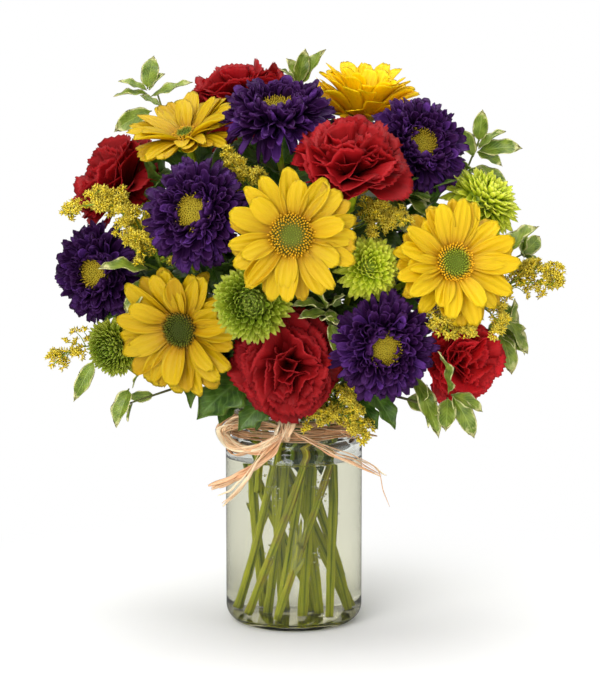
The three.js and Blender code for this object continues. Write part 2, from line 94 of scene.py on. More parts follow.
class Shape:
    """Points, faces and the petal colouring that a piece is put together from."""

    def __init__(self):
        self.points, self.faces, self.marks, self.count = [], [], [], 0

    def add(self, points, faces, marks):
        """Faces is a list of index arrays. Marks are four numbers a point: along, across, chance and ring."""
        points = np.asarray(points, float).reshape(-1, 3)
        self.points.append(points)
        self.marks.append(np.broadcast_to(np.asarray(marks, float).reshape(-1, 4), (len(points), 4)))
        self.faces += [np.asarray(f) + self.count for f in faces]
        self.count += len(points)

    def merge(self, other, matrix):
        self.add(moved(np.concatenate(other.points), matrix), other.faces, np.concatenate(other.marks))

    def piece(self, name, material, slot, *nodes, matrix=None):
        """A smooth mesh object of the shape, riding on the frame in place of its nodes."""
        points = np.concatenate(self.points)
        points = (points if matrix is None else moved(points, matrix)) * MM
        mesh = bpy.data.meshes.new(name)
        mesh.vertices.add(len(points))
        mesh.vertices.foreach_set("co", points.ravel())
        corners = np.concatenate([f.ravel() for f in self.faces])
        mesh.loops.add(len(corners))
        mesh.loops.foreach_set("vertex_index", corners.astype(np.int32))
        sizes = np.concatenate([np.full(len(f), f.shape[1]) for f in self.faces])
        mesh.polygons.add(len(sizes))
        starts = np.concatenate([[0], np.cumsum(sizes)[:-1]])
        mesh.polygons.foreach_set("loop_start", starts.astype(np.int32))
        mesh.update(calc_edges=True)
        mesh.validate()
        layer = mesh.attributes.new("petal", "FLOAT_COLOR", "POINT")
        layer.data.foreach_set("color", np.concatenate(self.marks).ravel())
        settle(linked(name, mesh), material, slot, *nodes)


def linked(name, data):
    obj = bpy.data.objects.new(name, data)
    bpy.context.scene.collection.objects.link(obj)
    return obj


def select_only(obj):
    bpy.ops.object.select_all(action="DESELECT")
    bpy.context.view_layer.objects.active = obj
    obj.select_set(True)


def settle(obj, material, slot, *nodes):
    """Smooths a finished piece, rides it on the frame and hides the nodes that it stands for."""
    obj.data.materials.append(material)
    select_only(obj)
    bpy.ops.object.shade_smooth()
    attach(obj, "root")
    if nodes:
        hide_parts(*nodes)


@cache
def shell_faces(rows, across):
    """Faces of a closed shell of two sheets that share their rim."""
    top = np.arange(rows * across).reshape(rows, across)
    under = top.copy()
    under[1:-1, 1:-1] = rows * across + np.arange((rows - 2) * (across - 2)).reshape(rows - 2, across - 2)

    def quads(g):
        return np.stack([g[:-1, :-1], g[1:, :-1], g[1:, 1:], g[:-1, 1:]], -1).reshape(-1, 4)

    return np.concatenate([quads(top), quads(under)[:, ::-1]])


def capped_rings(rings, sides):
    """Faces of a stack of rings of points, closed at its ends by two points that are numbered after the rings'."""
    here = np.arange(rings * sides).reshape(rings, sides)
    beside = np.roll(here, -1, axis=1)
    walls = np.stack([here[:-1], beside[:-1], beside[1:], here[1:]], -1).reshape(-1, 4)
    foot = np.stack([np.full(sides, rings * sides), beside[0], here[0]], -1)
    top = np.stack([np.full(sides, rings * sides + 1), here[-1], beside[-1]], -1)
    return [walls, foot, top]


def add_shells(shape, sheets, marks, thickness=PETAL_THICK):
    """Closes each sheet of points into a thin petal: the rim stays sharp and the under side lies a thickness below."""
    n, rows, across, _ = sheets.shape
    normal = unit(np.cross(np.gradient(sheets, axis=1), np.gradient(sheets, axis=2)))
    under = (sheets - normal * thickness)[:, 1:-1, 1:-1].reshape(n, -1, 3)
    points = np.concatenate([sheets.reshape(n, -1, 3), under], 1)
    marks = np.concatenate([marks.reshape(n, -1, 4), marks[:, 1:-1, 1:-1].reshape(n, -1, 4)], 1)
    faces = (shell_faces(rows, across)[None] + np.arange(n)[:, None, None] * points.shape[1]).reshape(-1, 4)
    shape.add(points, [faces], marks)


def each(value, n):
    """One number for each of n petals, or one for all, in a shape that multiplies their grids."""
    return np.broadcast_to(np.asarray(value, float).reshape(-1, 1, 1), (n, 1, 1))


def columns(across):
    """From -1 to 1 across a petal."""
    return np.linspace(-1, 1, across).reshape(1, 1, across)


def petal_sheets(rng, n, grid, azimuth, root, height, length, width, pitch, curl=0.0, bend=1.4, cup=0.0,
                 twist=0.0, *, outline, reach=None, lift=None, ring=0.0):
    """Sheets of n petals round +Z. Each starts at its root radius and height, leaves at its pitch above level and
    curls up by curl on its way. Outline gives the half width along it, and reach each column's share of the length."""
    rows, across = grid
    u, v = np.linspace(0, 1, rows).reshape(1, rows, 1), columns(across)
    length, pitch, curl, cup, twist = (each(x, n) for x in (length, pitch, curl, cup, twist))
    steps = 48
    angle = pitch[:, :, 0] + curl[:, :, 0] * np.linspace(0, 1, steps + 1)[None] ** bend
    middle = (angle[:, 1:] + angle[:, :-1]) / 2
    out, up = (np.concatenate([np.zeros((n, 1)), np.cumsum(way(middle) * (length[:, :, 0] / steps), 1)], 1)
               for way in (np.cos, np.sin))
    reach = 1 - 0.3 * np.abs(v) ** 2.5 if reach is None else reach
    whole = np.ones((n, rows, across))
    q = np.clip(u * reach, 0, 1) * whole
    low = np.clip(np.floor(q * steps).astype(int), 0, steps - 1)
    share = q * steps - low
    pick = np.arange(n)[:, None, None]
    x, z = (way[pick, low] * (1 - share) + way[pick, low + 1] * share for way in (out, up))
    tilt = pitch + curl * q ** bend
    half = each(width, n) * outline(u)
    y = half * v * whole
    rise = cup * half * v**2 + (0 if lift is None else lift(u, v, q))
    turn = twist * q
    y, rise = y * np.cos(turn) - rise * np.sin(turn), y * np.sin(turn) + rise * np.cos(turn)
    x = each(root, n) + x - np.sin(tilt) * rise
    z = each(height, n) + z + np.cos(tilt) * rise
    a = each(azimuth, n)
    sheets = np.stack([x * np.cos(a) - y * np.sin(a), x * np.sin(a) + y * np.cos(a), z], -1)
    marks = np.stack([q, (v + 1) / 2 * whole, each(rng.random(n), n) * whole, each(ring, n) * whole], -1)
    return sheets, marks


def add_petals(shape, *plan, thickness=PETAL_THICK, **more):
    add_shells(shape, *petal_sheets(*plan, **more), thickness)


def blunt(base, full, tip, at):
    """Half width along a petal: from its base's share, full at a place, and narrowing to its tip's share."""
    def outline(u):
        grow = base + (full - base) * np.sin(np.clip(u / at, 0, 1) * np.pi / 2) ** 1.2
        return grow - (full - tip) * np.clip((u - at) / (1 - at), 0, 1) ** 2
    return outline


def smooth_path(points, count):
    """Even points on the centripetal curve through the given ones, as the frame's stems run."""
    p = floats(points)
    p = np.concatenate([[2 * p[0] - p[1]], p, [2 * p[-1] - p[-2]]])
    t = np.linspace(0, 1, 40)[:, None]
    walk = []
    for i in range(1, len(p) - 2):
        d = [max(np.linalg.norm(p[j + 1] - p[j]) ** 0.5, 1e-4) for j in (i - 1, i, i + 1)]
        t1, t2 = (((p[j] - p[j - 1]) / d[k] - (p[j + 1] - p[j - 1]) / (d[k] + d[k + 1]) + (p[j + 1] - p[j]) / d[k + 1])
                  * d[1] for j, k in ((i, 0), (i + 1, 1)))
        a, b = p[i], p[i + 1]
        walk.append(a + t1 * t + (-3 * a + 3 * b - 2 * t1 - t2) * t**2 + (2 * a - 2 * b + t1 + t2) * t**3)
    walk = np.concatenate(walk)
    run = run_of(walk)
    return np.stack([np.interp(np.linspace(0, run[-1], count), run, walk[:, k]) for k in range(3)], 1)


def add_tube(shape, path, radius, section, twist=0.0, chance=0.5, ring=0.0, first=None):
    """A closed tube along a path. Section is its outline in shares of the radius, carried along without twist from
    a first cross direction, and then turned by twist in all."""
    n, k = len(path), len(section)
    tangent = tangents(path)
    if first is None:
        first = (0, 0, 1) if abs(tangent[0, 2]) < 0.9 else (1, 0, 0)
    sides = [unit(np.cross(floats(first), tangent[0]))]
    for t in tangent[1:]:
        sides.append(unit(sides[-1] - t * np.dot(sides[-1], t)))
    side = np.array(sides)
    up = np.cross(tangent, side)
    turn = np.linspace(0, twist, n)[:, None]
    sx = section[None, :, 0] * np.cos(turn) - section[None, :, 1] * np.sin(turn)
    sy = section[None, :, 0] * np.sin(turn) + section[None, :, 1] * np.cos(turn)
    points = path[:, None] + (side[:, None] * sx[..., None] + up[:, None] * sy[..., None]) * radius[:, None, None]
    marks = np.zeros((n * k + 2, 4))
    marks[:-2, 0] = np.repeat(np.linspace(0, 1, n), k)
    marks[:-2, 1] = np.tile(np.arange(k) / k, n)
    marks[-2:, 0] = (0, 1)
    marks[:, 2], marks[:, 3], marks[-2, 3] = chance, ring, 1.0
    shape.add(np.concatenate([points.reshape(-1, 3), path[:1], path[-1:]]), capped_rings(n, k), marks)


def add_turned(shape, outline, segments, ring=0.0, matrix=None):
    """A solid turned about +Z, from an outline of (radius, height) that starts and ends on the axis."""
    outline = floats(outline)
    rim = outline[1:-1]
    around = rim[:, None, :1] * circle(segments)
    points = np.concatenate([around, np.repeat(rim[:, None, 1:], segments, 1)], -1).reshape(-1, 3)
    points = np.concatenate([points, [[0, 0, outline[0, 1]], [0, 0, outline[-1, 1]]]])
    u = np.concatenate([np.repeat(np.linspace(0, 1, len(rim)), segments), [0, 1]])
    marks = np.stack([u, u * 0 + 0.5, u * 0 + 0.5, u * 0 + ring], 1)
    shape.add(points if matrix is None else moved(points, matrix), capped_rings(len(rim), segments), marks)


def add_buds(shape, places, facing, size, tall, marks):
    """Small closed florets: each a bud that swells and comes to a blunt point along its facing direction."""
    sides, rings = 5, [(0.7, 0.0), (1.0, 0.5), (0.7, 0.88)]
    facing = unit(facing)
    other = np.where(np.abs(facing[:, 2:3]) < 0.9, np.array([[0, 0, 1.0]]), np.array([[1.0, 0, 0]]))
    side = unit(np.cross(other, facing))
    up = np.cross(facing, side)
    a = circle(sides)
    around = side[:, None] * a[None, :, :1] + up[:, None] * a[None, :, 1:]
    layers = [places[:, None] + around * (size * r)[:, None, None] + (facing * (tall * h)[:, None])[:, None]
              for r, h in rings]
    points = np.concatenate(layers + [places[:, None], (places + facing * tall[:, None])[:, None]], 1)
    shift = np.arange(len(places))[:, None, None] * points.shape[1]
    faces = [(f[None] + shift).reshape(-1, f.shape[1]) for f in capped_rings(len(rings), sides)]
    marks = np.repeat(marks[:, None], points.shape[1], 1)
    marks[..., 0] = np.repeat([0, 0.5, 0.9, 0, 1], [sides] * 3 + [1, 1])
    shape.add(points, faces, marks)


# ---- Heads: their kinds, and where the frame has them ----

# A kind's node, its first seed, how far its node reaches behind the head's zero height, where its stem ends below that,
# its usual radius, its stem's radius, the heights that its petals fill, and its cup's top, foot and depth.
Kind = namedtuple("Kind", "node seed back seat usual stem depth cup")
KINDS = {
    "daisy": Kind("_rays", 100, 2.4, 3.0, 41, 2.6, (-7, 11), (9, 3.2, 5)),
    "aster": Kind("_head", 200, 8.6, 9.0, 34, 2.3, (-12, 12), (10, 3, 5)),
    "carnation": Kind("_bloom", 300, 8.6, 9.0, 37, 2.1, (-30, 22), (7.5, 4, 20)),
    "button": Kind("_head", 400, 8.6, 9.0, 25, 1.9, (-13, 17), (8, 2.6, 4)),
}
# Where the open heads differ a little from their plain solids in the frame: a shift, a facing direction or None, a size
# and a share of the rim's height.
FITTED = {
    "aster_1": ((0, -3, 4), None, 1.12, 1),
    "aster_2": ((1, 0, 0), None, 1.06, 1),
    "aster_3": ((2, 0, 1), None, 1.13, 1),
    "aster_4": ((-2, 0, -3), None, 1.13, 1),
    "aster_5": ((1, 0, 0), None, 1.07, 1),
    "carnation_1": ((-3, 1, -4), (0.04, -0.48, 0.87), 1.0, 1),
    "carnation_2": ((3, 0, 5), None, 0.93, 1),
    "carnation_3": ((2, 0, 0), (-0.1, -0.1, 0.99), 1.0, 1),
    "carnation_4": ((1, 0, -5), None, 1.06, 1),
    "carnation_5": ((-2, 0, 0), None, 0.94, 1),
    "button_3": ((2, 0, -1), None, 1.08, 1),
    "daisy_3": ((-2, 0, -4), None, 1.06, 0.8),
    "daisy_4": ((5, -3, 1), (-0.24, -0.44, 0.86), 1.1, 1.9),
    "daisy_5": ((0, 0, -5), None, 1.02, 1),
}
# Painted light and shade for each head, with a little of its own tone: how much lighter or darker its petals are
# painted than its kind's usual colour, by the head's number, to make up for how it is lit.
TONES_AND_PAINTED_LIGHT = {
    "daisy": (0.67, 0.84, 0.58, 0.64, 1.1, 0.75, 0.75),
    "aster": (0.85, 0.8, 0.9, 0.6, 0.95, 0.9),
    "carnation": (0.85, 0.66, 0.74, 0.68, 1.3, 0.8),
    "button": (0.66, 1.25, 1.1, 0.5),
}
BUNCH_HEART = np.array([0, 0, 205])


class Head:
    """A flower head: where its centre is, the way it faces, its radius and how high its rim stands, from its node."""

    def __init__(self, name):
        self.name = name
        self.word, number = name.split("_")
        self.kind, self.number = KINDS[self.word], int(number)
        # Painted light and shade for the head, with a little of its own tone.
        self.tone = TONES_AND_PAINTED_LIGHT[self.word][self.number - 1]
        self.node = name + self.kind.node
        co = floats([v.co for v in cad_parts[self.node].data.vertices]) / MM
        co = np.unique(co.round(2), axis=0)
        middle = co.mean(0)
        values, axes = np.linalg.eigh(np.cov((co - middle).T))
        apart = [[abs(a - b) for b in values] for a in values]
        odd = [sum(apart[i]) - apart[(i + 1) % 3][(i + 2) % 3] for i in range(3)]
        axis = axes[:, int(np.argmax(odd))]
        if np.dot(axis, middle - BUNCH_HEART) < 0:
            axis = -axis
        along = (co - middle) @ axis
        flat = np.linalg.norm((co - middle) - along[:, None] * axis, axis=1)
        shift, face, size, rim = FITTED.get(name, ((0, 0, 0), None, 1, 1))
        self.at = middle + axis * (along.min() + self.kind.back) + np.array(shift)
        self.rim = (along[flat > 0.97 * flat.max()].max() - along.min() - self.kind.back) * rim
        self.radius = flat.max() * size
        self.face = unit(np.array(face)) if face else axis
        self.share = self.radius / self.kind.usual

    def stand(self, spin):
        """The matrix that puts a shape made facing +Z onto the head's place."""
        z = Vector(self.face).normalized()
        x = Vector((0, 0, 1)).cross(z)
        x = x.normalized() if x.length > 0.05 else Vector((1, 0, 0))
        m = Matrix((x, z.cross(x), z)).transposed() @ Matrix.Rotation(spin, 3, "Z")
        return Matrix.Translation(Vector(self.at)) @ m.to_4x4()

    def seat(self):
        """The last two points of the stem's path."""
        return [self.at - self.face * (self.kind.seat + 24), self.at - self.face * (self.kind.seat + GAP)]


HEADS = {}
for _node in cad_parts:
    for _word, _kind in KINDS.items():
        if _node.startswith(_word) and _node.endswith(_kind.node):
            _name = _node.removesuffix(_kind.node)
            HEADS[_name] = Head(_name)


# ---- Finishes ----


class Value:
    """A socket in a material that Python's own arithmetic works on, by adding math nodes."""

    def __init__(self, finish, socket):
        self.finish, self.socket = finish, socket

    def maths(self, operation, other=0.0, swap=False):
        inputs = {0: other, 1: self} if swap else {0: self, 1: other}
        return self.finish.node("Math", inputs, operation=operation)

    def __add__(self, other):
        return self.maths("ADD", other)

    def __sub__(self, other):
        return self.maths("SUBTRACT", other)

    def __rsub__(self, other):
        return self.maths("SUBTRACT", other, swap=True)

    def __mul__(self, other):
        return self.maths("MULTIPLY", other)

    def __pow__(self, other):
        return self.maths("POWER", other)

    def __gt__(self, other):
        return self.maths("GREATER_THAN", other)

    def __lt__(self, other):
        return self.maths("LESS_THAN", other)

    def __abs__(self):
        return self.maths("ABSOLUTE")

    def cosine(self):
        return self.maths("COSINE")

    def most(self, other):
        return self.maths("MAXIMUM", other)


class Nodes:
    """The nodes of a material or of the world, added by short calls."""

    def __init__(self, tree):
        self.tree = tree

    def node(self, kind, inputs=None, output=0, **settings):
        """Adds a node and gives one of its outputs. Its inputs are other nodes' values, numbers or colours."""
        node = self.tree.nodes.new("ShaderNode" + kind)
        for key, value in settings.items():
            setattr(node, key, value)
        for key, value in (inputs or {}).items():
            if isinstance(value, Value):
                self.tree.links.new(value.socket, node.inputs[key])
            else:
                colour = isinstance(value, tuple) and len(value) == 3
                node.inputs[key].default_value = (*value, 1) if colour else value
        return Value(self, node.outputs[output])

    def place(self, output="Object"):
        return self.node("TexCoord", output=output)

    def ray(self, fact):
        """A fact about the light ray that meets the stage."""
        return self.node("LightPath", output=fact)

    def part(self, vector, axis):
        return self.node("SeparateXYZ", {"Vector": vector}, axis)

    def ramp(self, value, *stops, mode="LINEAR"):
        """Colours along a value, from stops of (place, red, green, blue)."""
        colour = self.node("ValToRGB", {"Fac": value})
        ramp = colour.socket.node.color_ramp
        ramp.interpolation = mode
        while len(ramp.elements) < len(stops):
            ramp.elements.new(0.5)
        for element, (at, *rgb) in zip(ramp.elements, stops):
            element.position, element.color = at, (*rgb, 1)
        return colour

    def fade(self, value, start, end, low=0.0, high=1.0, mode="LINEAR"):
        return self.ramp(value, (start, low, low, low), (end, high, high, high), mode=mode)

    def mix(self, share, a, b, mode="MIX"):
        return self.node("Mix", {0: share, 6: a, 7: b}, 2, data_type="RGBA", blend_type=mode)

    def noise(self, scale, detail, vector=None, rough=0.5):
        return self.node("TexNoise", {"Vector": vector or self.place(), "Scale": scale, "Detail": detail,
                                      "Roughness": rough})


class Finish(Nodes):
    """A material whose colour and bump are built from nodes on the petal colouring or the object's place."""

    def __init__(self, name, roughness, **sockets):
        self.material = bpy.data.materials.new(name)
        self.material.use_nodes = True
        super().__init__(self.material.node_tree)
        self.shader = self.tree.nodes["Principled BSDF"]
        self.shader.inputs["Roughness"].default_value = roughness
        for socket, value in sockets.items():
            self.shader.inputs[socket.replace("_", " ")].default_value = value

    def marks(self):
        """Reads the petal colouring: how far along and across a petal, its own chance, and its ring in the head."""
        colour = self.node("Attribute", attribute_name="petal")
        split = self.node("SeparateColor", {"Color": colour}).socket.node
        self.along, self.across, self.chance = (Value(self, socket) for socket in split.outputs)
        self.ring = Value(self, colour.socket.node.outputs["Alpha"])
        return self

    def fibres(self, detail, x, y, rough=0.5):
        """Noise drawn out along the petal, at one scale along it and another across."""
        return self.noise(1.0, detail, self.node("CombineXYZ", {"X": self.along * x, "Y": self.across * y}), rough)

    def base(self, colour):
        self.colour = colour
        return self

    def over(self, share, colour):
        """Lays a share of another colour over the finish so far."""
        self.colour = self.mix(share, self.colour, colour)

    def done(self, height=None, strength=0.0, distance=0.0, tone=1.0):
        """Joins the colour, made lighter or darker by the head's painted light and shade and its own tone, and the bump
        to the shader.
        """
        colour = self.colour if tone == 1.0 else self.mix(1.0, self.colour, (tone, tone, tone), "MULTIPLY")
        self.tree.links.new(colour.socket, self.shader.inputs["Base Color"])
        if height:
            bump = self.node("Bump", {"Height": height, "Strength": strength, "Distance": distance})
            self.tree.links.new(bump.socket, self.shader.inputs["Normal"])
        return self.material


def petal(name, roughness, specular, glow=0.0, radius=(1.0, 0.2, 0.1), **sockets):
    """A petal's or leaf's finish. Where it glows, a little light passes through it."""
    if glow:
        sockets = dict(Subsurface_Weight=glow, Subsurface_Radius=radius, Subsurface_Scale=0.004, **sockets)
    return Finish(name, roughness, Specular_IOR_Level=specular, **sockets).marks()


@cache
def yellow_petal(tone):
    f = petal("daisy petal", 0.5, 0.25, 0.22, (1.0, 0.6, 0.1))
    # Painted shade: dark orange at the petal's base, deep in the head, growing to full yellow towards the tip.
    f.base(f.ramp(f.along, (0, 0.26, 0.08, 0.001), (0.14, 0.52, 0.23, 0.001), (0.34, 0.76, 0.45, 0.001),
                  (0.75, 0.86, 0.56, 0.001), (1, 0.9, 0.61, 0.002)))
    fibres = f.fibres(4, 2.5, 26)
    f.over((fibres - 0.42) * 1.1, (0.72, 0.32, 0.001))
    f.over(f.chance * 0.3, (0.86, 0.48, 0.0))
    # Painted shade: the petals of the layers behind and below, whose ring is high, are painted a darker gold.
    f.over(f.ring * 0.6, (0.62, 0.31, 0.002))
    grooves = (f.across * (6.2832 * 3)).cosine()
    return f.done(grooves * 0.35 + fibres * 0.8, 0.6, 0.0007, tone)


@cache
def daisy_eye(tone, gold):
    """Green in the middle and gold round it: gold is how much further in the gold comes."""
    f = petal("daisy eye", 0.65, 0.25)
    body = f.ramp(f.ring, (0, 0.09, 0.18, 0.012), (0.3 - gold, 0.19, 0.29, 0.02), (0.5 - gold, 0.29, 0.33, 0.02),
                  (0.62 - gold, 0.4, 0.24, 0.01), (1, 0.46, 0.2, 0.004))
    tip = f.mix(f.fade(f.ring, 0.5, 0.6, 0, 0.9), body, (0.8, 0.42, 0.008))
    # Painted shade between the florets: each is painted near black at its foot, going to its colour at its tip.
    f.base(f.mix(f.along, f.mix(0.85, body, (0.04, 0.03, 0.002)), tip))
    f.over(f.chance * 0.35, (0.1, 0.09, 0.005))
    return f.done(f.noise(2500, 2), 0.4, 0.0002, tone)


@cache
def purple_petal(tone):
    f = petal("aster petal", 0.42, 0.3, Specular_Tint=(0.6, 0.4, 1.0, 1))
    # Painted shade: near black at the petal's base, deep in the head, to violet at the tip.
    f.base(f.ramp(f.along, (0, 0.006, 0.001, 0.006), (0.35, 0.013, 0.002, 0.016), (0.8, 0.034, 0.007, 0.048),
                  (1, 0.06, 0.015, 0.085)))
    fibres = f.fibres(4, 2, 14)
    # Lighter violet streaks along the petals: partly their own texture, partly painted sheen.
    f.over(fibres - 0.45, (0.06, 0.01, 0.15))
    # Painted highlights: a few petals, picked by their chance, get a pale violet glint.
    f.over(f.chance**6 * 0.5, (0.16, 0.045, 0.34))
    return f.done(fibres, 0.55, 0.0005, tone)


@cache
def aster_eye():
    f = petal("aster eye", 0.7, 0.25)
    body = f.ramp(f.ring, (0, 0.24, 0.22, 0.015), (0.35, 0.42, 0.32, 0.015), (0.8, 0.62, 0.42, 0.02),
                  (1, 0.72, 0.52, 0.06))
    # Painted shade between the florets: each is painted near black at its foot, going to its colour at its tip.
    f.base(f.mix(f.along, f.mix(0.85, body, (0.05, 0.03, 0.004)), body))
    f.over(f.chance * 0.45, (0.2, 0.13, 0.005))
    return f.done(f.noise(2500, 2), 0.4, 0.0002)


@cache
def red_petal(tone):
    f = petal("carnation petal", 0.6, 0.18, 0.12, (1.0, 0.1, 0.08))
    # Painted shade: dark at the petal's base, deep among the folds of the bloom, to full red at the tip.
    f.base(f.ramp(f.along, (0, 0.05, 0.002, 0.001), (0.5, 0.2, 0.004, 0.004), (0.88, 0.36, 0.007, 0.009),
                  (1, 0.5, 0.014, 0.018)))
    fibres = f.fibres(5, 2, 40)
    f.over((fibres - 0.4) * 0.8, (0.19, 0.0, 0.002))
    f.over(f.chance * 0.3, (0.46, 0.004, 0.014))
    return f.done(fibres, 0.5, 0.0006, tone)


@cache
def green_petal(tone):
    f = petal("button petal", 0.5, 0.3, 0.2, (0.6, 1.0, 0.2))
    # Painted shade: each petal is darker at its base, deep among the quills, and lighter at its tip. The middle, whose
    # ring is low, takes the darker ramp, which is partly the head's own darker green and partly painted shade.
    inner = f.ramp(f.along, (0, 0.03, 0.07, 0.003), (0.5, 0.12, 0.2, 0.01), (1, 0.3, 0.38, 0.04))
    outer = f.ramp(f.along, (0, 0.17, 0.25, 0.005), (0.4, 0.45, 0.53, 0.015), (1, 0.74, 0.75, 0.08))
    f.base(f.mix(f.fade(f.ring, 0.1, 0.8), inner, outer))
    f.over(f.chance * 0.3, (0.4, 0.6, 0.02))
    return f.done(f.fibres(2, 2, 8), 0.4, 0.0003, tone)


def height_share(f):
    """A point's height above the table, as a share of 0.2 metres, which is a little above the jar's mouth."""
    return f.part(f.place(), 2) * 5


@cache
def green_stem():
    """Ribbed, blotched here and there, pale where it is cut, and with painted light on its ribs where it stands in
    water.
    """
    f = petal("green stem", 0.5, 0.12)
    ribs = f.fade(f.fibres(3, 2.2, 8), 0.4, 0.6)
    blotch = f.noise(60, 3)
    f.base(f.mix(ribs, (0.08, 0.17, 0.001), (0.46, 0.56, 0.012)))
    f.over((blotch - 0.4) * 1.2, (0.6, 0.6, 0.07))
    f.over(f.fade(f.chance, 0.5, 0.9, 0, 0.5), (0.26, 0.34, 0.01))
    f.over(f.fade(blotch * f.chance, 0.42, 0.55, 0, 0.7), (0.3, 0.13, 0.03))
    f.over(f.fade(f.ring, 0.9, 1), (0.66, 0.7, 0.4))
    # Painted light: below about 0.12 metres, where the stems stand in the water, their ribs are painted a lighter
    # yellow-green.
    f.over(f.fade(height_share(f), 0.58, 0.64, 0.8, 0) * (ribs * 0.85 + 0.06), (0.86, 0.84, 0.06))
    return f.done(f.fibres(4, 5, 20) + f.noise(900, 3) * 0.4, 0.6, 0.0007)


@cache
def leaf(name, dark, light, rim, edge=(0.8, 0.95)):
    """A leaf: darker and lighter patches, a pale midrib and side veins, and a rim of its own colour."""
    f = Finish(name, 0.4, Subsurface_Weight=0.08, Subsurface_Radius=(0.5, 1.0, 0.2), Subsurface_Scale=0.003,
               Specular_IOR_Level=0.45).marks()
    off = abs((f.across - 0.5) * 2)
    f.base(f.mix(f.fade(f.noise(160, 4), 0.35, 0.65), dark, light))
    side_veins = abs(((f.along * 9 + off * -3) * 3.1416).cosine()) ** 14
    veins = (side_veins * 0.45).most(f.fade(off, 0, 0.09, 1, 0))
    f.over(veins * 0.5, tuple(min(1, 1.6 * c + 0.05) for c in light))
    ragged = off.most(f.along * 1.06 - 0.04) + (f.noise(230, 3) - 0.5) * 0.5
    f.over(f.fade(ragged, *edge), rim)
    return f.done(f.noise(500, 3) * 0.3 - veins * 0.6, 0.5, 0.0005)


def dark_leaf():
    return leaf("dark leaf", (0.02, 0.05, 0.005), (0.07, 0.135, 0.014), (0.09, 0.15, 0.02))


def variegated_leaf():
    return leaf("variegated leaf", (0.07, 0.115, 0.01), (0.2, 0.26, 0.025), (0.62, 0.6, 0.26), (0.78, 0.94))


@cache
def goldenrod_floret():
    """Yellow florets, and green on the twigs, whose ring is high."""
    f = petal("goldenrod floret", 0.6, 0.3)
    f.base(f.ramp(f.along, (0, 0.8, 0.64, 0.02), (0.3, 1.0, 0.74, 0.02), (1, 1.0, 0.84, 0.12)))
    f.over(f.chance * 0.3, (0.7, 0.56, 0.01))
    f.over(f.fade(f.ring, 0.4, 0.6), f.mix(f.noise(200, 2), (0.13, 0.23, 0.012), (0.28, 0.36, 0.03)))
    return f.done(f.noise(1800, 2), 0.4, 0.0002)


@cache
def raffia_straw():
    f = petal("raffia straw", 0.5, 0.4)
    fibres = f.fibres(5, 5, 30, 0.65)
    f.base(f.ramp(f.chance, (0, 0.76, 0.38, 0.18), (0.35, 0.9, 0.54, 0.29), (0.7, 0.96, 0.71, 0.44),
                  (1, 0.98, 0.85, 0.61)))
    f.over(f.fade(fibres, 0.4, 0.7) * 0.6, (0.95, 0.82, 0.58))
    f.over(f.fade(fibres, 0.3, 0.46, 1, 0) * 0.7, (0.5, 0.21, 0.08))
    return f.done(fibres, 0.7, 0.0006)


@cache
def woody_twig():
    """Dark bark, lighter and greener low down where it stands in the jar, greener towards the young tips, and pale
    where it is cut.
    """
    f = petal("woody twig", 0.6, 0.5)
    f.base(f.mix(f.noise(400, 4), (0.018, 0.012, 0.006), (0.11, 0.075, 0.04)))
    f.over(f.fade(height_share(f), 0.6, 0.72, 1, 0), f.mix(f.noise(300, 3), (0.14, 0.2, 0.03), (0.3, 0.34, 0.08)))
    f.over(f.fade(f.along, 0.5, 1), f.mix(f.noise(300, 3), (0.12, 0.16, 0.03), (0.24, 0.26, 0.07)))
    f.over(f.fade(f.ring, 0.9, 1), (0.55, 0.5, 0.3))
    return f.done(f.noise(900, 4), 0.6, 0.0005)


def clear_finish(name, roughness, index, scale, dark, light, *bump):
    """Glass, water or air: a faint tint, and where there is a bump, a slow ripple of its scale and size."""
    f = Finish(name, roughness, Transmission_Weight=1.0, IOR=index)
    f.base(f.mix(f.noise(scale, 1), dark, light))
    return f.done(f.noise(*bump[:2]), *bump[2:]) if bump else f.done()


# ---- Daisies ----


def add_eye(shape, rng, head, count, radius, heights, slopes, ruffle, sizes, tall, uneven, ring=1.0):
    """A disc of florets, packed in a spiral. The pairs give each number from the middle to the edge."""
    k = np.arange(count) + 0.5
    t, a = np.sqrt(k / count), k * GOLDEN
    out = np.stack([np.cos(a), np.sin(a)], 1)
    spots = np.column_stack([radius * t[:, None] * out, np.interp(t, *heights)])
    facing = np.column_stack([out * np.interp(t, *slopes)[:, None], np.ones(count)])
    facing = facing + rng.normal(0, ruffle, (count, 3))
    size = np.interp(t, *sizes) * head.share
    tall = np.interp(t, *tall) * rng.uniform(*uneven, count)
    add_buds(shape, spots, facing, size, tall, np.stack([t * 0, t * 0, rng.random(count), t * ring], 1))


DAISY_MORE = {1: -1, 2: 2, 3: 1}  # petals more than usual, by the head's number
# The eye's share of the radius, how open its outer florets are, how light it is painted, partly as painted light and
# shade and partly its own tone, and how far its gold comes in.
DAISY_EYE = {1: (0.315, 1.0, 1.0, 0.1), 2: (0.275, 0.74, 1.35, 0.0), 3: (0.275, 0.66, 0.42, 0.0),
             4: (0.2, 0.85, 0.9, 0.0)}


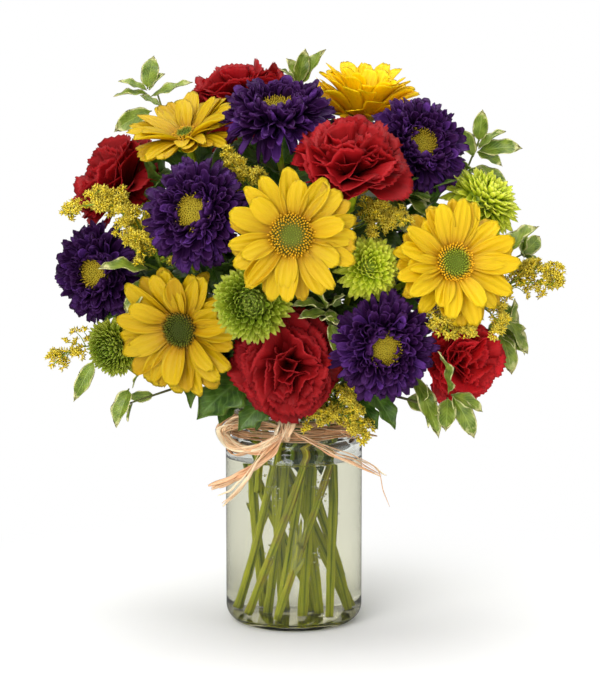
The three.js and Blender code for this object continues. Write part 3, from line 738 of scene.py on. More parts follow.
def make_daisy(head, rng, s):
    R = head.radius
    cup = math.atan2(head.rim, 0.8 * R)
    shape, eye = Shape(), Shape()
    n = s.petals + DAISY_MORE.get(head.number, 0)
    eye_share, ripe, tone, gold = DAISY_EYE.get(head.number, (0.28, 0.85, 0.9, 0.0))
    r = eye_share * R
    root = 0.72 * r
    # Layers: petals, their share of the radius, height and pitch, where they start, and how much painted shade they
    # get, most on the layers that lie behind and below.
    narrow, tip, taper = 1.0, 0.64, 0.15
    layers = [(n, 1.0, 0.9, cup + 0.03, 0.0, 0.15), (n - 3, 0.97, -0.2, cup - 0.08, math.pi / n, 1.0),
              (6, 0.82, 1.3, cup + 0.16, 0.6, 0.0)]
    if cup > 0.4:
        narrow, tip, taper = 0.98, 0.86, 0.08
        layers = [(n + 2, 1.0, -0.5, cup - 0.22, 0.0, 0.8), (n, 0.98, 0.4, cup + 0.1, 0.2, 0.4),
                  (n - 3, 0.94, 1.0, cup + 0.4, 0.3, 0.2), (n - 6, 0.84, 1.6, cup + 0.62, 0.5, 0.0)]
    wide = narrow * s.petal_width / MM / 2 * head.share
    v = columns(11)
    for count, share, high, pitch, start, ring in layers:
        azimuth = start + np.arange(count) * 2 * np.pi / count + rng.normal(0, 0.085, count)
        length = (R * share - root) / np.cos(np.clip(pitch, 0, 0.8)) ** 0.6 * rng.uniform(0.9, 1.03, count)
        ragged = rng.normal(0, 0.008, (count, 1, 11))
        notch = 0.02 * np.cos(3 * np.pi * v) * rng.uniform(0, 1.0, (count, 1, 1))

        def lift(u, v, q, count=count):
            wave = rng.normal(0, 0.7, (count, 1, 1)) * np.sin(3.0 * u + rng.uniform(0, 6, (count, 1, 1))) * v
            return s.groove / MM * (-np.cos(3 * np.pi * v) * np.sin(np.pi * u) ** 0.5) + wave

        add_petals(shape, rng, count, (13, 11), azimuth, root, high + rng.normal(0, 0.3, count), length,
                   wide * rng.uniform(0.85, 1.12, count), pitch * 1.45 + rng.normal(0, 0.09, count),
                   -0.75 * pitch + rng.normal(-0.12, 0.18, count), 1.3, rng.normal(0.16, 0.2, count),
                   rng.normal(0, 0.2, count), outline=blunt(0.38, 1.0, 0.74, tip),
                   reach=1 - taper * np.abs(v) ** 2.2 + notch + ragged, lift=lift, ring=ring)
    matrix = head.stand(rng.uniform(0, TURN))
    shape.piece(head.name + "_petals", yellow_petal(head.tone), "yellow_petals", head.node, matrix=matrix)
    add_turned(eye, [(0, 0.2), (0.8 * r, 0.2), (0.95 * r, 2.0), (0.9 * r, 3.4), (0.6 * r, 4.4), (0.3 * r, 4.0),
                     (0, 3.4)], 28, ring=0.3)
    # Painted shade: the dome under the florets is marked low along, so it is painted dark.
    eye.marks[-1] = eye.marks[-1] * [0.3, 1, 1, 1]
    add_eye(eye, rng, head, 230, 0.96 * r, ([0, 0.3, 0.6, 0.93, 1], [3.4, 4.0, 4.4, 3.4, 2.4]),
            ([0, 0.3, 0.7, 1], [-0.15, -0.1, 0.5, 1.3]), 0.13, ([0, 0.45, 0.6, 1], [0.36, 0.42, 0.62, 0.66]),
            ([0, 0.45, 0.6, 1], [0.8, 1.1, 2.2, 2.5]), (0.6, 1.35), ripe)
    eye.piece(head.name + "_florets", daisy_eye(tone, gold), "daisy_eye", head.name + "_eye", matrix=matrix)


# ---- Asters ----

ASTER_DOME = {1: 0.75, 2: 0.3, 4: 0.35}  # how far the outer petals turn down, by the head's number


def make_aster(head, rng, s):
    R, n = head.radius, s.petals
    shape, eye = Shape(), Shape()
    dome = ASTER_DOME.get(head.number, 0.2)
    t = (np.arange(n) + 0.5) / n
    azimuth = np.arange(n) * GOLDEN + rng.normal(0, 0.1, n)
    pitch = np.interp(t, [0, 0.25, 0.6, 1], [1.35, 1.0, 0.5 - 0.2 * dome, -0.1 - 0.9 * dome]) + rng.normal(0, 0.2, n)
    length = np.interp(t, [0, 0.4, 1], [0.28, 0.42, 0.6]) * R * rng.uniform(0.78, 1.08, n)
    root = np.interp(t, [0, 0.35, 1], [0.31, 0.36, 0.46]) * R
    high = np.interp(t, [0, 0.5, 1], [1.0, 1.0, -1.5])
    wide = s.petal_width / MM / 2 * head.share
    v = columns(7)
    add_petals(shape, rng, n, (8, 7), azimuth, root, high, length, wide * rng.uniform(0.7, 1.2, n), pitch,
               np.interp(t, [0, 0.4, 1], [0.7, 0.3, 0.0]) + rng.normal(0, 0.5, n), 1.6, rng.normal(0.7, 0.35, n),
               rng.normal(0, 0.6, n), outline=blunt(0.45, 1.0, 0.9, 0.66),
               reach=1 - 0.16 * np.abs(v) ** 2.8 + rng.normal(0, 0.03, (n, 1, 7)),
               lift=lambda u, v, q: 0.18 * np.cos(3 * np.pi * v) * u, ring=t)
    n = 26
    add_petals(shape, rng, n, (7, 5), np.arange(n) * 2 * np.pi / n, 0.2 * R, -5.0 + rng.normal(0, 0.3, n),
               0.76 * R * rng.uniform(0.9, 1.05, n), 3.2 * head.share, 0.22 + rng.normal(0, 0.06, n), -0.2, 1.3, 0.3,
               rng.normal(0, 0.3, n), outline=blunt(0.3, 1.0, 0.7, 0.7), ring=0.6)
    add_turned(shape, [(0, -7.5), (0.3 * R, -7), (0.48 * R, -3), (0.4 * R, 1), (0.2 * R, 2.2), (0, 2.4)], 24, ring=0.2)
    matrix = head.stand(rng.uniform(0, TURN))
    shape.piece(head.name + "_petals", purple_petal(head.tone), "purple_petals", head.node, matrix=matrix)
    r = s.eye / MM / 2 * head.share
    add_turned(eye, [(0, 1.0), (0.9 * r, 1.0), (r, 2.6), (0.9 * r, 4.4), (0.5 * r, 5.2), (0, 5.0)], 24, ring=0.3)
    add_eye(eye, rng, head, 190, r, ([0, 0.5, 0.9, 1], [5.0, 5.2, 4.4, 3.0]), ([0, 0.6, 1], [0, 0.35, 1.0]), 0.2,
            ([0, 1], [0.42, 0.42]), ([0, 0.6, 1], [1.0, 1.7, 2.6]), (0.7, 1.3))
    eye.piece(head.name + "_florets", aster_eye(), "purple_petals", matrix=matrix)


# ---- Carnations ----

# Layers from the outside in: petals, their share of the radius, pitch, curl, width and height.
CARNATION_LAYERS = [
    (9, 1.06, 0.5, -0.6, 0.62, 0.0), (8, 1.03, 0.74, -0.62, 0.64, 0.7), (8, 0.99, 0.98, -0.66, 0.64, 1.2),
    (7, 0.94, 1.14, -0.62, 0.62, 1.7), (6, 0.84, 1.28, -0.5, 0.54, 2.0), (4, 0.74, 1.42, -0.1, 0.46, 2.3),
]


def make_carnation(head, rng, s):
    R = head.radius
    shape = Shape()
    across = 31
    v = columns(across)
    tuft = rng.normal(0, 0.09, (2, 3)) * R
    for row, (n, share, pitch, curl, wide, high) in enumerate(CARNATION_LAYERS):
        t = 1 - row / (len(CARNATION_LAYERS) - 1)
        azimuth = row * 0.9 + np.arange(n) * 2 * np.pi / n + rng.normal(0, 0.26, n)
        teeth = rng.uniform(0.2, 1.0, (n, 1, across)) * (np.arange(across) % 2).reshape(1, 1, across)
        reach = np.sqrt(1 - (0.74 * v) ** 2) - s.fringe * teeth + rng.normal(0, 0.008, (n, 1, across))
        phase, second = rng.uniform(0, TURN, (2, n, 1, 1))
        swing = s.ruffle / MM * head.share * rng.uniform(0.5, 1.25, (n, 1, 1)) * (1.05 - 0.25 * t)
        beats = rng.uniform(1.0, 1.7, (n, 1, 1)) * (1.1 - 0.2 * t)
        crease = rng.uniform(-0.5, 0.5, (n, 1, 1))

        def lift(u, v, q, phase=phase, second=second, swing=swing, beats=beats, crease=crease):
            fold = np.sin(beats * np.pi * v + phase) + 0.24 * q * np.sin(3.1 * beats * np.pi * v + second)
            return swing * q**1.2 * (fold - 0.6 * np.exp(-(((v - crease) / 0.16) ** 2)))

        sheets, marks = petal_sheets(
            rng, n, (13, across), azimuth, 0.035 * R, -7.0 + high, share * R * rng.uniform(0.88, 1.04, n),
            wide * R * rng.uniform(0.85, 1.15, n), pitch + rng.normal(0, 0.15, n), curl + rng.normal(0, 0.28, n), 1.4,
            rng.normal(0.12, 0.25, n), rng.normal(0, 0.35, n),
            outline=lambda u: 0.08 + 0.92 * u**1.15, reach=reach, lift=lift, ring=t)
        if row > 1:  # the inner petals gather into three tufts
            which = rng.integers(0, 3, n)
            rise = (sheets[..., 2:] + 7) / (0.9 * R)
            sheets[..., :2] += tuft[:, which].T[:, None, None, :] * rise * (row - 1) * 0.6
        add_shells(shape, sheets, marks, 0.4)
    matrix = head.stand(rng.uniform(0, TURN))
    shape.piece(head.name + "_petals", red_petal(head.tone), "red_petals", head.node, matrix=matrix)


# ---- Button chrysanthemums ----

# Painted light and shade with each head's own green: how light the middle is painted. On the heads that sit deep it is
# set lighter, to make up for the shade they get.
BUTTON_LIGHT = {1: -0.1, 2: 1.0, 3: 0.75, 4: -0.05}  # how light the middle is, by the head's number
OPEN_BUTTONS = (2, 3)


def make_button(head, rng, s):
    R = head.radius
    shape = Shape()
    is_open = head.number in OPEN_BUTTONS
    n = int(s.petals * (0.8 if is_open else 1.15))
    k = np.arange(n) + 0.5
    t = np.sqrt(k / n)
    azimuth = k * GOLDEN + rng.normal(0, 0.05, n)
    dome = np.interp(t, [0, 0.5, 0.8, 1], [0.0, 0.4, 0.5, 0.5]) * R
    high = np.interp(t, [0, 0.4, 0.75, 1], [0.34, 0.28, 0.05, -0.2]) * R
    pitch = np.interp(t, [0, 0.4, 0.75, 1], [1.5, 1.05, 0.5, -0.1]) + rng.normal(0, 0.1, n)
    curl = np.interp(t, [0, 0.5, 1], [0.9, 0.6, 0.2]) + rng.normal(0, 0.2, n)
    length = np.interp(t, [0, 0.5, 0.8, 1], [0.2, 0.34, 0.46, 0.54]) * R * rng.uniform(0.85, 1.08, n)
    wide = s.petal_width / MM / 2 * head.share
    if is_open:
        dome, length, pitch, curl, wide = 0.8 * dome, 1.18 * length, pitch - 0.12, curl - 0.35, 1.3 * wide
    # The ring mark is low and dark in the middle, partly the head's own colour and partly painted shade, and it is
    # raised on the heads that are painted lighter.
    light = np.clip(BUTTON_LIGHT[head.number] + t * 0.75, 0, 1)
    add_petals(shape, rng, n, (6, 5), azimuth, dome, high, length,
               np.interp(t, [0, 0.5, 1], [0.85, 1.4, 2.0]) * wide * rng.uniform(0.9, 1.1, n), pitch, curl, 1.2,
               rng.normal(0.75, 0.15, n), rng.normal(0, 0.15, n), outline=blunt(0.5, 1.0, 0.62, 0.7),
               reach=1 - 0.26 * np.abs(columns(5)) ** 2, ring=light)
    add_turned(shape, [(0, -0.3 * R), (0.4 * R, -0.28 * R), (0.5 * R, -0.05 * R), (0.46 * R, 0.16 * R),
                       (0.25 * R, 0.3 * R), (0, 0.34 * R)], 20, ring=0.15)
    matrix = head.stand(rng.uniform(0, TURN))
    shape.piece(head.name + "_petals", green_petal(head.tone), "green_petals", head.node, matrix=matrix)


def make_heads(word, make, settings):
    for head in HEADS.values():
        if head.word == word:
            make(head, np.random.default_rng(head.kind.seed + head.number), settings)


# ---- Stems: their routes, as the frame has them ----

JAR_HIGH = np.array(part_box("jar")[1]) / MM
FLOOR, WALL, NECK = 5.0, 3.2, 38.5  # the jar's inside floor, its wall and its neck's outside radius
MOUTH = JAR_HIGH[2] + 1
TWIST = math.radians(100)  # how far the stems turn round the jar from foot to mouth
# The rings of stems: the radius at their feet, how many slots there are, and the first one's angle in degrees.
RINGS = {"outer": (28.0, 16, -168.75), "inner": (13.0, 6, -150.0)}
BRANCH = 0.72  # a fork's radius against its stem's
STEM_STEPS, FORK_STEPS = 90, 60

# A stem's ring and slot, the points between the jar and its head, the head, its forks, where it is cut, and how
# loosely it leans.
Stem = namedtuple("Stem", "ring slot via end forks foot slack")


def stem(ring, slot, via, end, *forks, foot=None, slack=0.3):
    """Each fork is how far along the stem it starts, the points that it goes through, and its head."""
    return Stem(ring, slot, via, end, forks, foot, slack)


STEMS = {
    "daisy_stem_1": stem("inner", 0, [(-16, -22, 175)], "daisy_1", (0.62, [(-38, -45, 200)], "daisy_3")),
    "daisy_stem_2": stem("inner", 3, [(20, 5, 190), (32, 8, 260)], "daisy_5", (0.5, [(55, -22, 215)], "daisy_2")),
    "daisy_stem_3": stem("outer", 13, [(-28, 26, 185), (-42, 2, 250)], "daisy_4", (0.5, [(-48, 42, 198)], "daisy_7"),
                         (0.52, [(2, 38, 226)], "daisy_6")),
    "aster_stem_1": stem("outer", 1, [(-40, -30, 190)], "aster_2", (0.6, [(-75, -28, 200)], "aster_4")),
    "aster_stem_2": stem("inner", 4, [(2, 8, 200), (-2, -8, 270)], "aster_1", (0.55, [(40, -12, 245)], "aster_3")),
    "aster_stem_3": stem("outer", 5, [(30, -42, 170)], "aster_5"),
    "aster_stem_4": stem("outer", 10, [(42, 36, 180)], "aster_6", slack=0.7),
    "carnation_stem_1": stem("inner", 1, [(12, -20, 190)], "carnation_1"),
    "carnation_stem_2": stem("outer", 3, [(-6, -40, 165)], "carnation_2"),
    "carnation_stem_3": stem("inner", 5, [(-18, 10, 200)], "carnation_3"),
    "carnation_stem_4": stem("outer", 15, [(-52, 14, 200)], "carnation_4"),
    "carnation_stem_5": stem("outer", 7, [(46, -18, 163)], "carnation_5"),
    "carnation_stem_6": stem("outer", 12, [(-24, 50, 200)], "carnation_6"),
    "button_stem_1": stem("outer", 2, [(-24, -44, 172)], "button_1", (0.5, [(-62, -40, 178)], "button_4"), foot=88),
    "button_stem_2": stem("inner", 2, [(24, -22, 180)], "button_2", (0.45, [(58, -16, 215)], "button_3")),
}

# Goldenrod: a ring and slot, how loosely it leans, where it is cut, the points that its stem goes through, and its
# plumes: where each leaves the stem, the foot and the tip of its spray, and its branchlets' length.
GOLDENRODS = {
    "goldenrod_1": ("outer", 0, 0.3, 96, [(-50, -12, 175), (-78, -28, 225), (-98, -44, 266)], [
        (0.86, (-98, -44, 266), (-122, -54, 290), 8), (0.86, (-84, -42, 240), (-92, -66, 262), 8),
        (0.9, (-106, -46, 272), (-144, -42, 276), 8), (0.5, (-130, -20, 184), (-152, -38, 178), 7),
        (0.86, (-104, -54, 268), (-115, -54, 282), 8), (0.8, (-96, -52, 242), (-98, -64, 258), 8),
        (0.84, (-92, -44, 256), (-106, -60, 268), 8)]),
    "goldenrod_2": ("outer", 8, 1, 108, [(56, -6, 168), (88, -28, 202), (116, -38, 216)], [
        (0.86, (124, -42, 219), (166, -44, 230), 8), (0.86, (112, -58, 214), (90, -94, 207), 8),
        (0.86, (116, -60, 214), (128, -80, 205), 7), (0.86, (102, -70, 212), (84, -92, 210), 7),
        (0.86, (110, -66, 214), (104, -90, 204), 7), (0.9, (136, -44, 226), (150, -45, 241), 6),
        (0.9, (148, -44, 233), (168, -45, 234), 6)]),
    "goldenrod_3": ("outer", 4, 0.3, 113, [(6, -46, 172), (4, -48, 225), (4, -54, 262)], [
        (0.44, (24, -58, 158), (38, -72, 140), 8), (0.9, (44, -68, 266), (68, -88, 272), 6),
        (0.92, (-24, -62, 284), (-38, -66, 306), 6), (0.92, (-30, -60, 288), (-42, -62, 312), 6),
        (0.92, (-22, -60, 286), (-28, -67, 300), 6), (0.9, (46, -72, 260), (64, -82, 276), 7),
        (0.9, (42, -70, 268), (52, -82, 281), 6), (0.44, (12, -58, 150), (20, -70, 151), 7),
        (0.44, (28, -62, 152), (36, -74, 159), 7), (0.44, (30, -60, 146), (46, -66, 136), 7)]),
}

# Pittosporum: the same, with where its branch forks, and its twigs: the points that each goes through, and its leaves.
PITTOSPORUMS = {
    "pittosporum_1": ("outer", 14, 0.3, 110, (-30, 20, 162), [
        ([(-62, 16, 262), (-88, 6, 345)], 4), ([(-54, 4, 160), (-106, -44, 150)], 2),
        ([(-74, 34, 184), (-112, 52, 172)], 12)]),
    "pittosporum_2": ("outer", 11, 0, 102, (8, 34, 175), [
        ([(6, 34, 270), (2, 26, 358)], 3), ([(22, 78, 208), (10, 122, 214)], 12),
        ([(-14, 72, 185), (-42, 102, 176)], 12)]),
    "pittosporum_3": ("outer", 9, 0.3, 114, (46, 14, 175), [
        ([(92, 8, 250), (120, -4, 318)], 4), ([(108, -2, 220), (146, -26, 244)], 9),
        ([(100, 6, 188), (132, -30, 196)], 12), ([(80, 44, 180), (106, 62, 168)], 12)]),
    "pittosporum_4": ("outer", 6, 0.6, 106, (38, -30, 160), [
        ([(66, -52, 156), (94, -66, 150)], 7), ([(30, -58, 175), (24, -84, 212)], 3)]),
}

# Leaves listed one by one: the foot, the tip and the width of each.
# Some of these are set in gaps between the heads to stand in for the deep shade there, as well as being leaves.
DARK_LEAVES = {
    "button_stem_1": [
        (-26, -48, 172, -58, -76, 151, 32), (-12, -52, 158, -34, -66, 140, 20), (-34, -44, 164, -46, -62, 143, 18)],
    "carnation_stem_2": [
        (-16, -56, 154, -24, -56, 136, 8), (8, -50, 158, 22, -66, 142, 14)],
    "aster_stem_3": [
        (42, -52, 168, 64, -70, 143, 18), (36, -44, 160, 52, -60, 139, 15)],
    "daisy_stem_1": [
        (-50, -58, 238, -42, -80, 222, 12), (-56, -40, 196, -64, -62, 154, 22), (-46, -14, 214, -62, -16, 244, 24)],
    "daisy_stem_3": [
        (-62, -6, 296, -48, -20, 320, 18), (-58, -6, 300, -42, -22, 308, 16), (-60, -6, 300, -60, -22, 316, 15),
        (-60, 4, 286, -86, 2, 308, 22), (-58, 4, 282, -70, 6, 314, 18)],
    "carnation_stem_4": [
        (-92, -8, 280, -92, -34, 308, 20), (-94, -10, 278, -72, -36, 300, 20), (-92, -8, 276, -82, -40, 276, 18),
        (-84, 12, 278, -102, 10, 312, 24)],
    "daisy_stem_2": [
        (38, 4, 310, 22, -26, 326, 18), (40, 2, 312, 40, -26, 334, 16), (42, 2, 310, 58, -22, 322, 16)],
    "aster_stem_2": [
        (60, -20, 268, 84, -52, 282, 20), (64, -24, 272, 98, -48, 292, 18), (60, -26, 262, 92, -52, 274, 18),
        (58, -24, 275, 74, -54, 296, 15), (-4, 4, 284, -8, 8, 322, 20), (-4, 4, 280, -26, 6, 300, 18),
        (-2, 2, 286, 10, 4, 316, 16)],
    "button_stem_2": [
        (78, 2, 262, 102, 0, 290, 20), (80, 2, 258, 112, -2, 274, 16)],
    "aster_stem_1": [
        (-96, -30, 212, -118, -44, 206, 14), (-98, -30, 212, -100, -46, 196, 14)],
}
# Leaves that hang into the jar's neck, from one stem.
SUNKEN_LEAVES = {"carnation_stem_1": [(0, -12, 134, 5, -20, 98, 15), (10, -8, 134, 15, -16, 100, 14),
                                      (-6, -12, 132, -4, -20, 106, 12), (16, -6, 132, 22, -12, 106, 11)]}
EDGED_LEAVES = {
    "pittosporum_1": [
        (-94, 4, 347, -90, 0, 367, 12), (-94, 4, 346, -110, -2, 354, 8), (-94, 4, 344, -113, -8, 345, 9),
        (-92, 4, 342, -66, -4, 351, 11), (-91, 4, 333, -114, -8, 324, 12), (-93, 4, 346, -84, -2, 357, 9),
        (-90, -56, 236, -115, -82, 245, 12), (-90, -58, 233, -104, -72, 214, 11),
        (-126, -40, 178, -138, -48, 154, 10), (-104, -43, 160, -112, -54, 139, 12),
        (-102, -43, 160, -97, -52, 173, 9)],
    "pittosporum_2": [
        (3, 24, 350, 7, 18, 371, 10), (5, 24, 349, 19, 16, 371, 11), (3, 24, 349, -7, 16, 360, 9),
        (4, 24, 348, -2, 18, 366, 9)],
    "pittosporum_3": [
        (118, -6, 314, 120, -12, 333, 10), (117, -6, 307, 143, -16, 312, 12), (118, -6, 309, 132, -14, 322, 11),
        (115, -6, 304, 106, -12, 322, 12), (113, -8, 297, 136, -18, 287, 12), (117, -6, 307, 132, -16, 301, 10),
        (111, -8, 295, 122, -16, 294, 9), (128, -26, 216, 148, -37, 184, 15), (131, -50, 245, 151, -54, 263, 15),
        (131, -32, 195, 139, -45, 172, 12), (62, -38, 288, 86, -60, 266, 14), (66, -38, 288, 84, -54, 283, 12),
        (60, -42, 281, 70, -60, 262, 12)],
    "pittosporum_4": [
        (74, -58, 172, 91, -76, 138, 12), (96, -66, 158, 94, -80, 140, 12), (98, -66, 160, 113, -74, 136, 12),
        (98, -66, 160, 117, -72, 152, 11), (96, -70, 160, 92, -99, 192, 10), (20, -86, 216, 2, -101, 223, 9),
        (20, -86, 214, 4, -99, 212, 9), (20, -86, 216, 14, -99, 231, 8), (20, -86, 216, 30, -99, 226, 8),
        (21, -86, 214, 26, -99, 210, 9), (22, -84, 207, 29, -96, 190, 9)],
}
# Stumps of leaves and split shreds on the stems in the water: the height of the foot, the way to the tip, a width.
SHREDS = {
    "carnation_stem_5": [(34, (4, -3, 26), 3.4), (38, (1, -3, 30), 3), (32, (7, -2, 22), 3.2), (42, (3, -2, 32), 2.6),
                         (30, (9, -1, 17), 3), (46, (5, -2, 24), 2.4)],
    "carnation_stem_4": [(42, (-9, 2, 3), 2.6)],
    "carnation_stem_2": [(60, (5, -3, 14), 2.4)],
    "aster_stem_1": [(66, (-5, -3, 12), 2.2)],
}


def lower_points(ring, slot, foot, slack, radius):
    """A stem's straight run from its cut end to just above the jar's mouth."""
    reach, slots, first = RINGS[ring]
    azimuth = math.radians(first + 360 / slots * slot)
    lean = NECK - WALL - GAP - 1.1 * radius - slack if ring == "outer" else reach
    low, high = (np.array([r * math.cos(a), r * math.sin(a), z])
                 for a, r, z in ((azimuth - TWIST, reach, FLOOR), (azimuth, lean, MOUTH)))
    bottom = foot if foot is not None else FLOOR + GAP + (0.36 if ring == "outer" else 0.18) * radius
    return [low + (high - low) * (z - FLOOR) / (MOUTH - FLOOR) for z in (bottom, (bottom + MOUTH) / 2, MOUTH)]


RIDGED = np.array([[math.cos(a) * (1 + 0.06 * math.cos(5 * a)), math.sin(a) * (1 + 0.06 * math.cos(5 * a))]
                   for a in np.linspace(0, 2 * math.pi, 20, endpoint=False)])


def add_stem(shape, rng, points, radius, steps):
    path = smooth_path(points, steps)
    t = np.linspace(0, 1, steps)
    swell = 1 + 0.1 * np.sin(t * rng.uniform(20, 30) + rng.uniform(0, 6)) ** 8 - 0.08 * t
    add_tube(shape, path, radius * swell, RIDGED, twist=rng.uniform(-1, 1), chance=rng.random())
    return path


def leaf_matrix(foot, along, up):
    x = Vector(along).normalized()
    y = Vector(up).cross(x)
    y = y.normalized() if y.length > 1e-4 else Vector((0, 1, 0))
    return Matrix.Translation(Vector(foot)) @ Matrix((x, y, x.cross(y))).transposed().to_4x4()


def lobed(u):
    """Half width of a chrysanthemum leaf along its length: a stalk, then blunt lobes."""
    body = np.sin(np.clip((u - 0.12) / 0.88, 0, 1) ** 0.8 * np.pi) ** 0.7
    return 0.07 + body * (0.83 + 0.17 * np.cos(u * 2 * np.pi * 3.6 + 0.4))


def oval(u):
    """Half width of a smooth leaf: a short stalk, then a full oval."""
    x = np.abs(2 * np.clip((u - 0.1) / 0.9, 0, 1) ** 0.92 - 1)
    return 0.07 + 0.93 * np.clip(1 - x**2.3, 0, 1) ** 0.62


# A leaf's rows of points, how much its edge waves, how far its corners are cut back, and its outline.
LEAVES = {"oval": (14, 0.045, 0.1, oval), "lobed": (24, 0.035, 0.08, lobed), "blade": (14, 0.0, 0.1, oval)}


def add_leaf(shape, rng, foot, along, up, length, width, kind, droop, ring=0.0):
    rows, wavy, corners, outline = LEAVES[kind]
    phase = rng.uniform(0, TURN)
    fold = rng.uniform(0.1, 0.3)

    def lift(u, v, q):
        wave = np.abs(v) ** 1.7 * np.sin(q * 15 + phase + 2.2 * np.sign(v)) * np.sin(np.pi * np.clip(q, 0, 1))
        return wavy * length * wave + fold * width / 2 * (np.abs(v) - 0.3) * (q > 0.06)

    one = Shape()
    add_petals(one, rng, 1, (rows, 9), 0.0, 0.0, 0.0, length, width / 2, 0.15, droop + rng.normal(0, 0.15), 1.2,
               rng.normal(0.1, 0.1), rng.normal(0, 0.45), outline=outline, reach=1 - corners * np.abs(columns(9)) ** 2,
               lift=lift, ring=ring)
    shape.merge(one, leaf_matrix(foot, along, up))


def add_placed_leaves(shape, rng, rows, kind, droop, up=(0.1, -0.6, 0.8), longer=1.08):
    for *ends, width in rows:
        foot, tip = floats(ends).reshape(2, 3)
        add_leaf(shape, rng, foot, tip - foot, up, longer * np.linalg.norm(tip - foot), width, kind, droop)


def clear_of_heads(points):
    """Whether all the points are outside every flower head."""
    for head in HEADS.values():
        away = points - head.at
        along = away @ head.face
        flat = np.linalg.norm(away - along[:, None] * head.face, axis=1)
        low, high = head.kind.depth
        if np.any((along > low) & (along < high) & (flat < 0.97 * head.radius)):
            return False
    return True


# Leaf tips stay inside an oval round the bunch.
BUNCH_MIDDLE, BUNCH_REACH = np.array([0.0, -4.0, 222.0]), np.array([112.0, 100.0, 104.0])
LEAFY_FROM = 152  # the height of the lowest leaf's foot
LEAF_TRIES = 16


def add_leaves_along(shape, rng, route, spacing, size):
    """Leaves along a stem wherever there is room for them between the heads."""
    tangent, run = tangents(route), run_of(route)
    at = run[np.argmax(route[:, 2] > LEAFY_FROM)] + rng.uniform(0, spacing)
    turn = rng.uniform(0, TURN)
    while at < run[-1] - 16:
        i = int(np.searchsorted(run, at))
        foot = route[i]
        for attempt in range(LEAF_TRIES):
            turn += GOLDEN * (1 if attempt == 0 else 0.37)
            outward = unit(np.array([math.cos(turn), math.sin(turn), 0.0]) + 0.6 * unit(foot * [1, 1, 0] + 1e-6))
            along = unit(outward + 0.45 * tangent[i] + [0, 0, rng.uniform(-0.35, 0.3)])
            length = size * rng.uniform(0.75, 1.15)
            reach = foot + along * length * np.array([[0.35], [0.6], [0.85], [1.0]]) - [0, 0, 0.12 * length]
            within = np.sum(((reach[-1] - BUNCH_MIDDLE) / BUNCH_REACH) ** 2) < 1
            above = reach[:, 2].min() > 132 and (reach[-1, 2] > 150 or np.linalg.norm(reach[-1, :2]) > 52)
            if within and above and clear_of_heads(reach):
                add_leaf(shape, rng, foot, along, tangent[i], length, length * rng.uniform(0.45, 0.58), "lobed",
                         rng.uniform(-1.1, -0.4))
                break
        at += spacing * rng.uniform(0.8, 1.2)


def add_grassy_leaves(shape, rng, path):
    """Pairs of narrow curled leaves on a carnation's stem."""
    tangent = tangents(path)
    for share in (0.62, 0.8):
        i = int(share * (STEM_STEPS - 1))
        for sign in (1, -1):
            side = unit(np.cross(tangent[i], [0, 0, 1])) * sign
            add_leaf(shape, rng, path[i], unit(side * 0.5 + tangent[i]), tangent[i] * 0.1 + side, 34, 3.4, "blade",
                     -1.5)


def add_cup(shape, rng, head):
    """What holds the petals: a green cup with rows of small scales, or a carnation's long toothed calyx."""
    top, low, tall = head.kind.cup
    top *= head.share
    z = -head.kind.seat - GAP
    one = Shape()
    if head.word == "carnation":
        add_turned(one, [(0, z - tall), (0.7 * low, z - tall), (1.25 * low, z - tall + 2), (1.3 * low, z - 12),
                         (0.95 * top, z - 3), (top, z), (0, z + 1.5)], 20)
        add_petals(one, rng, 5, (6, 5), np.arange(5) * 2 * np.pi / 5, 0.86 * top, z - 3.5, 7.5, 3.6, 1.15, -0.3, 1.2,
                   -0.5, 0.0, outline=blunt(1.0, 1.0, 0.15, 0.2), thickness=0.5)
    else:
        add_turned(one, [(0, z - tall), (low, z - tall), (0.6 * top, z - 0.7 * tall), (0.95 * top, z - 0.3 * tall),
                         (top, z), (0, z + 1.0)], 20)
        for row, (n, r, lift, length) in enumerate([(12, 0.3, -0.8 * tall, 0.8), (14, 0.55, -0.45 * tall, 0.75)]):
            add_petals(one, rng, n, (5, 5), np.arange(n) * 2 * np.pi / n + row * 0.2, r * top, z + lift, length * top,
                       1.5 * head.share, 0.35, 0.25, 1.2, -0.3, rng.normal(0, 0.1, n),
                       outline=blunt(0.8, 1.0, 0.3, 0.4), thickness=0.4)
    shape.merge(one, head.stand(rng.uniform(0, 6)))


def make_stem(name, plan, number):
    rng = np.random.default_rng(500 + number)
    head = HEADS[plan.end]
    radius = head.kind.stem
    shape, leaves = Shape(), Shape()
    low = lower_points(plan.ring, plan.slot, plan.foot, plan.slack, radius)
    path = add_stem(shape, rng, low + list(floats(plan.via)) + head.seat(), radius, STEM_STEPS)
    add_cup(shape, rng, head)
    routes = [(path, radius)]
    for at, via, end in plan.forks:
        start = path[int(at * (STEM_STEPS - 1))]
        fork = add_stem(shape, rng, [start, *floats(via)] + HEADS[end].seat(), radius * BRANCH, FORK_STEPS)
        add_cup(shape, rng, HEADS[end])
        routes.append((fork, radius * BRANCH))
    if head.word == "carnation":
        add_leaves_along(leaves, rng, path, 14, 44)
        add_grassy_leaves(leaves, rng, path)
    else:
        for route, r in routes:
            add_leaves_along(leaves, rng, route, 9, 50 if r > 2.2 else 42)
    add_placed_leaves(leaves, rng, DARK_LEAVES.get(name, []), "lobed", -0.5)
    for height, way, width in SHREDS.get(name, []):
        foot = path[np.argmax(path[:, 2] > height)]
        add_leaf(shape, rng, foot, way, [0, -1, 0.1], np.linalg.norm(way), width, "blade", -0.3, ring=0.95)
    add_placed_leaves(leaves, rng, SUNKEN_LEAVES.get(name, []), "lobed", -0.3, (0, -1, 0.1), 1.0)
    shape.piece(name + "_green", green_stem(), "green_stem", name)
    if leaves.count:
        leaves.piece(name + "_leaves", dark_leaf(), "green_stem")


# ---- Goldenrod ----


